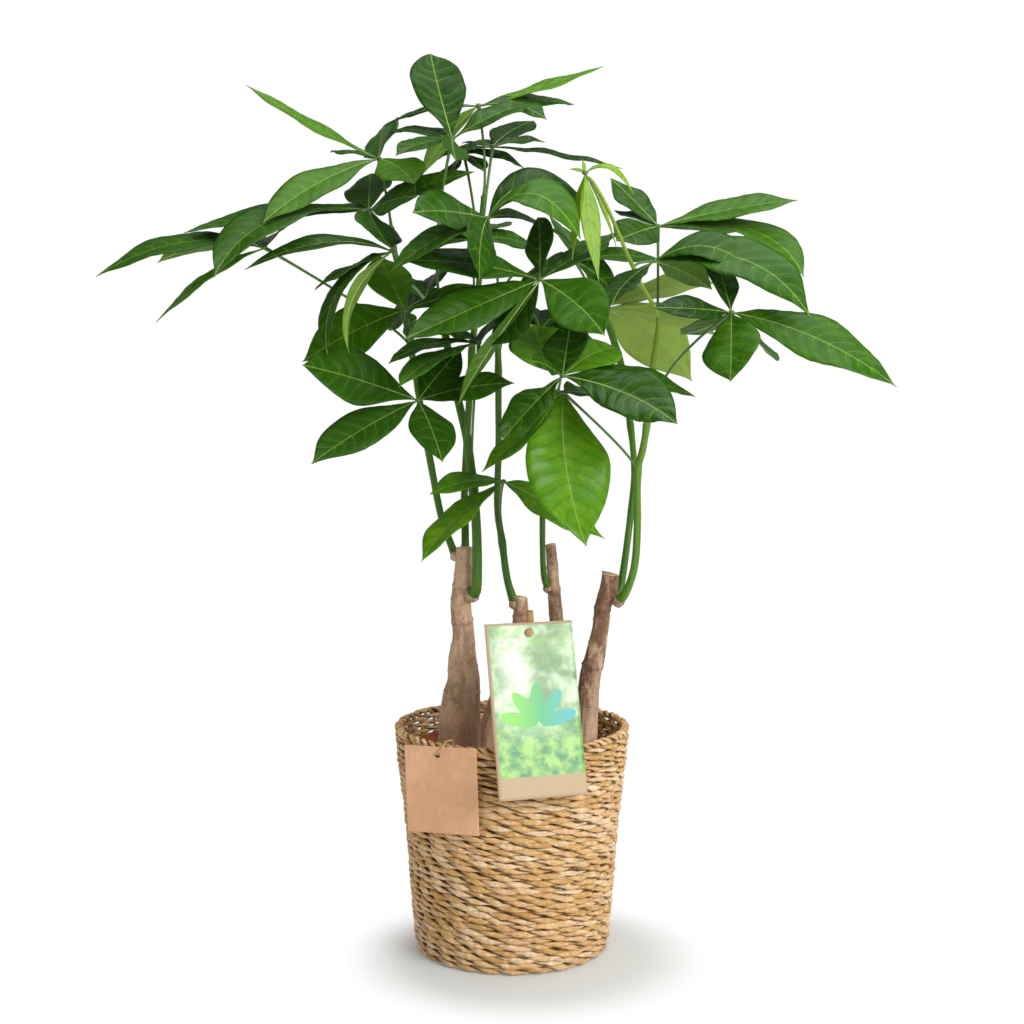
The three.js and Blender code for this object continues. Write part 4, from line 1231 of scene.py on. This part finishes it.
def build_card(tree):
    """A generic leaf print: one five-part leaf in green and teal over soft pale greens."""
    width, height, _ = CARD["size"]
    place = stretch(tree, map_place(tree), (width, height, 1))
    right, up, _ = axes(tree, place)
    body = print_ground(tree, place, up)
    leaf_green = ramp(tree, step(tree, right, 8, 70), [
        (0.0, (120, 196, 60)), (0.5, (60, 168, 96)), (1.0, (48, 164, 168))])
    for angle in PRINT["angles"]:
        away = math.radians(angle)
        centre = (PRINT["foot"][0] + PRINT["out"] * math.sin(away),
                  PRINT["foot"][1] + PRINT["out"] * math.cos(away))
        body = mix(tree, oval(tree, place, centre, PRINT["half_size"], -angle), body, leaf_green)
    strip = step(tree, up, CARD["strip"], CARD["strip"] + 0.4, 1, 0)
    left = step(tree, right, CARD["edge"], CARD["edge"] + 0.3, 1, 0)
    top = step(tree, up, height - 2, height - 1.7)
    plain = calc(tree, "MAXIMUM", strip, calc(tree, "MAXIMUM", left, top))
    paper = mix(tree, cloud(tree, place, 0.5, 2, 0.5), (190, 170, 140), (180, 156, 124))
    return {"Base Color": mix(tree, plain, body, paper), "Roughness": scaled(tree, plain, 0.35, 0.32)}


def build_kraft(tree):
    place = object_place(tree)
    flecks = grain(tree, place, (900, 900, 300), 4, 0.7)
    body = mix(tree, blotched(tree, place, 26.0), (214, 168, 130), (200, 152, 114))
    dotted = mix(tree, step(tree, flecks, 0.52, 0.75, 0, 0.3), body, (160, 116, 82))
    return surface(dotted, scaled(tree, flecks, 0.1, 0.82), flecks, 0.15, 0.0003)


def build_plain_wood(tree):
    streaks = streaked(tree, object_place(tree), (700, 700, 60))
    body = mix(tree, streaks, (186, 150, 100), (150, 112, 70))
    return surface(body, scaled(tree, streaks, 0.15, 0.62), streaks, 0.3, 0.0004)


CARD_PRINT = finish_material("card_print", build_card)
KRAFT = finish_material("kraft_paper", build_kraft)
PLAIN_WOOD = finish_material("plain_wood", build_plain_wood)


def make_card():
    bm = new_mesh()
    width, height, _ = CARD["size"]
    sheet(bm, CARD["size"], 24, 44, lambda x, z: 0.5 * math.sin(math.pi * x / width) * (z / height))
    bm.transform(card_frame())
    card = piece("picture_card_sheet", bm, [CARD_PRINT, KRAFT], ["picture_card"])
    thicken(card, CARD["paper"], 1, 1)


def make_peg():
    bm = new_mesh()
    frame_of_card = card_frame()
    long = PEG["front"] + PEG["back"]
    ends = [PEG["back"] - long * share for share in (0, 0.08, 0.5, 0.9, 1)]
    line = [frame_of_card @ at((PEG["left"], y, PEG["up"])) for y in ends]
    radii = [PEG["radius"] * MM * size for size in (0.9, 1, 1, 1, 0.86)]
    add_tube(bm, line, radii, PEG["sides"])
    piece("card_peg_wood", bm, [PLAIN_WOOD], ["card_peg"])


def make_stick():
    bm = new_mesh()
    steps = STICK["steps"]
    foot, top = at(STICK["foot"]), at(STICK["top"])
    line = [foot.lerp(top, i / steps) for i in range(steps + 1)]
    radii = [STICK["radius"] * MM] * steps + [STICK["radius"] * 0.88 * MM]
    add_tube(bm, line, radii, STICK["sides"], lambda p, angle, share: 0.12 * MM * noise.noise(p * 90))
    piece("card_stick_wood", bm, [PLAIN_WOOD], ["card_stick"])


def make_tag():
    bm = new_mesh()
    width, height, _ = TAG["size"]

    def bulge(x, z):
        return 0.9 * math.sin(math.pi * z / height) * math.sin(math.pi * x / width)

    sheet(bm, TAG["size"], 60, 66, bulge)
    hole = Vector((TAG["right"], 0, TAG["up"])) * MM
    inside = []
    for vert in bm.verts:
        away = Vector((vert.co.x - hole.x, vert.co.z - hole.z))
        if away.length < TAG["hole"] * 0.6 * MM:
            inside.append(vert)
        elif away.length < TAG["hole"] * 1.35 * MM:
            away = away.normalized() * TAG["hole"] * MM
            vert.co.x, vert.co.z = hole.x + away.x, hole.z + away.y
    bmesh.ops.delete(bm, geom=inside, context="VERTS")
    bm.transform(tag_frame())
    thicken(piece("kraft_tag_sheet", bm, [KRAFT], ["kraft_tag"]), TAG["paper"])


def make_twine():
    """Two plies laid round each other, from behind the tag, through its hole and over the rim."""
    def hole(forward, up):
        return (tag_frame() @ at((TAG["right"], -forward, TAG["up"] + up))) / MM

    path = [hole(-1.6, 0), hole(0.4, 0.9), hole(2.4, 2.5), *[Vector(p) for p in TWINE_OVER]]
    line = smooth_line(path, TWINE["steps"])
    frames = frames_along(line)
    bm = new_mesh("strand")
    for ply in (0, 1):
        placed = []
        for i, (point, (across, over)) in enumerate(zip(line, frames)):
            angle = i * TWINE["twist"] + ply * math.pi
            out = across * math.cos(angle) + over * math.sin(angle)
            placed.append((point + out * TWINE["apart"]) * MM)
        add_tube(bm, placed, [TWINE["radius"] * MM] * len(placed), TWINE["sides"])
    fill_layer(bm, "strand", (0.6, 0.75, 0, 1))
    piece("tag_twine_plies", bm, [SEAGRASS], ["tag_twine"])


# ---------------------------------------------------------------- floor and light


SHADE_MIDDLE = (0.012, -0.03, 0)  # the middle of the shade about the basket's foot


def build_floor(tree):
    """Grey paper at the basket's foot, darker there as a painted soft shadow, which turns into even white
    light further out.
    """
    away = vector_calc(tree, "LENGTH", vector_calc(tree, "SUBTRACT", object_place(tree), SHADE_MIDDLE))
    # near is the share of painted shadow about the basket's foot: there the floor is grey paper that also
    # takes real shadows, and glows less.
    near = plus(tree, step(tree, away, 0.085, 0.155, 0.84, 0), step(tree, away, 0.1, 0.34, 0.04, 0))
    paper = mix(tree, near, (0, 0, 0), (208, 212, 209))
    glow = mix(tree, near, (255, 255, 255), (0, 0, 0))
    return {"Base Color": paper, "Emission Color": glow}


def background(tree, strength):
    return add(tree, "Background", {"Color": (1, 1, 1, 1), "Strength": strength}).outputs[0]


def make_floor():
    bm = new_mesh()
    bmesh.ops.create_grid(bm, x_segments=2, y_segments=2, size=14)
    mesh = bpy.data.meshes.new("floor")
    bm.to_mesh(mesh)
    bm.free()
    mesh.materials.append(finish_material("floor", build_floor, Roughness=0.8, Emission_Strength=1.0))
    floor = bpy.data.objects.new("floor", mesh)
    scene.collection.objects.link(floor)


def make_world():
    """White where the camera sees it, dimmer as light, and mostly dark where leaves mirror it."""
    world = bpy.data.worlds.new("studio")
    world.use_nodes = True
    scene.world = world
    tree = world.node_tree
    ways = axes(tree, add(tree, "TexCoord").outputs["Generated"])
    backdrop = times(tree, step(tree, ways[2], 0.1, 0.6, 1, 0), step(tree, ways[1], -0.2, 0.3))
    mirrored = background(tree, scaled(tree, backdrop, 0.5, 0.05))
    path = add(tree, "LightPath").outputs
    unseen = add(tree, "MixShader", {0: path["Is Glossy Ray"], 1: background(tree, 0.34), 2: mirrored})
    inputs = {0: path["Is Camera Ray"], 1: unseen.outputs[0], 2: background(tree, 1.0)}
    both = add(tree, "MixShader", inputs)
    tree.links.new(both.outputs[0], tree.nodes["World Output"].inputs[0])


def make_lights():
    area_light("key", (1.6, -1.8, 1.5), (0, 0, 0.3), 1.8, 68)
    area_light("fill", (-2.0, -1.7, 1.0), (0, 0, 0.3), 2.0, 2.5, (1, 0.84, 0.5))
    area_light("top", (0.2, 0.2, 2.6), (0, 0, 0.3), 2.4, 42)


# ---------------------------------------------------------------- the whole plant

make_basket_wall()
make_basket_rim()
make_basket_floor()
make_basket_stakes()
make_pot()
make_soil()
for name, plan in TRUNKS.items():
    make_trunk(name, plan)
for name, plan in STEMS.items():
    make_stem(name, plan)
for name, plan in LEAVES.items():
    make_leaf(name, plan)
make_card()
make_peg()
make_stick()
make_tag()
make_twine()
make_floor()
make_world()
make_lights()
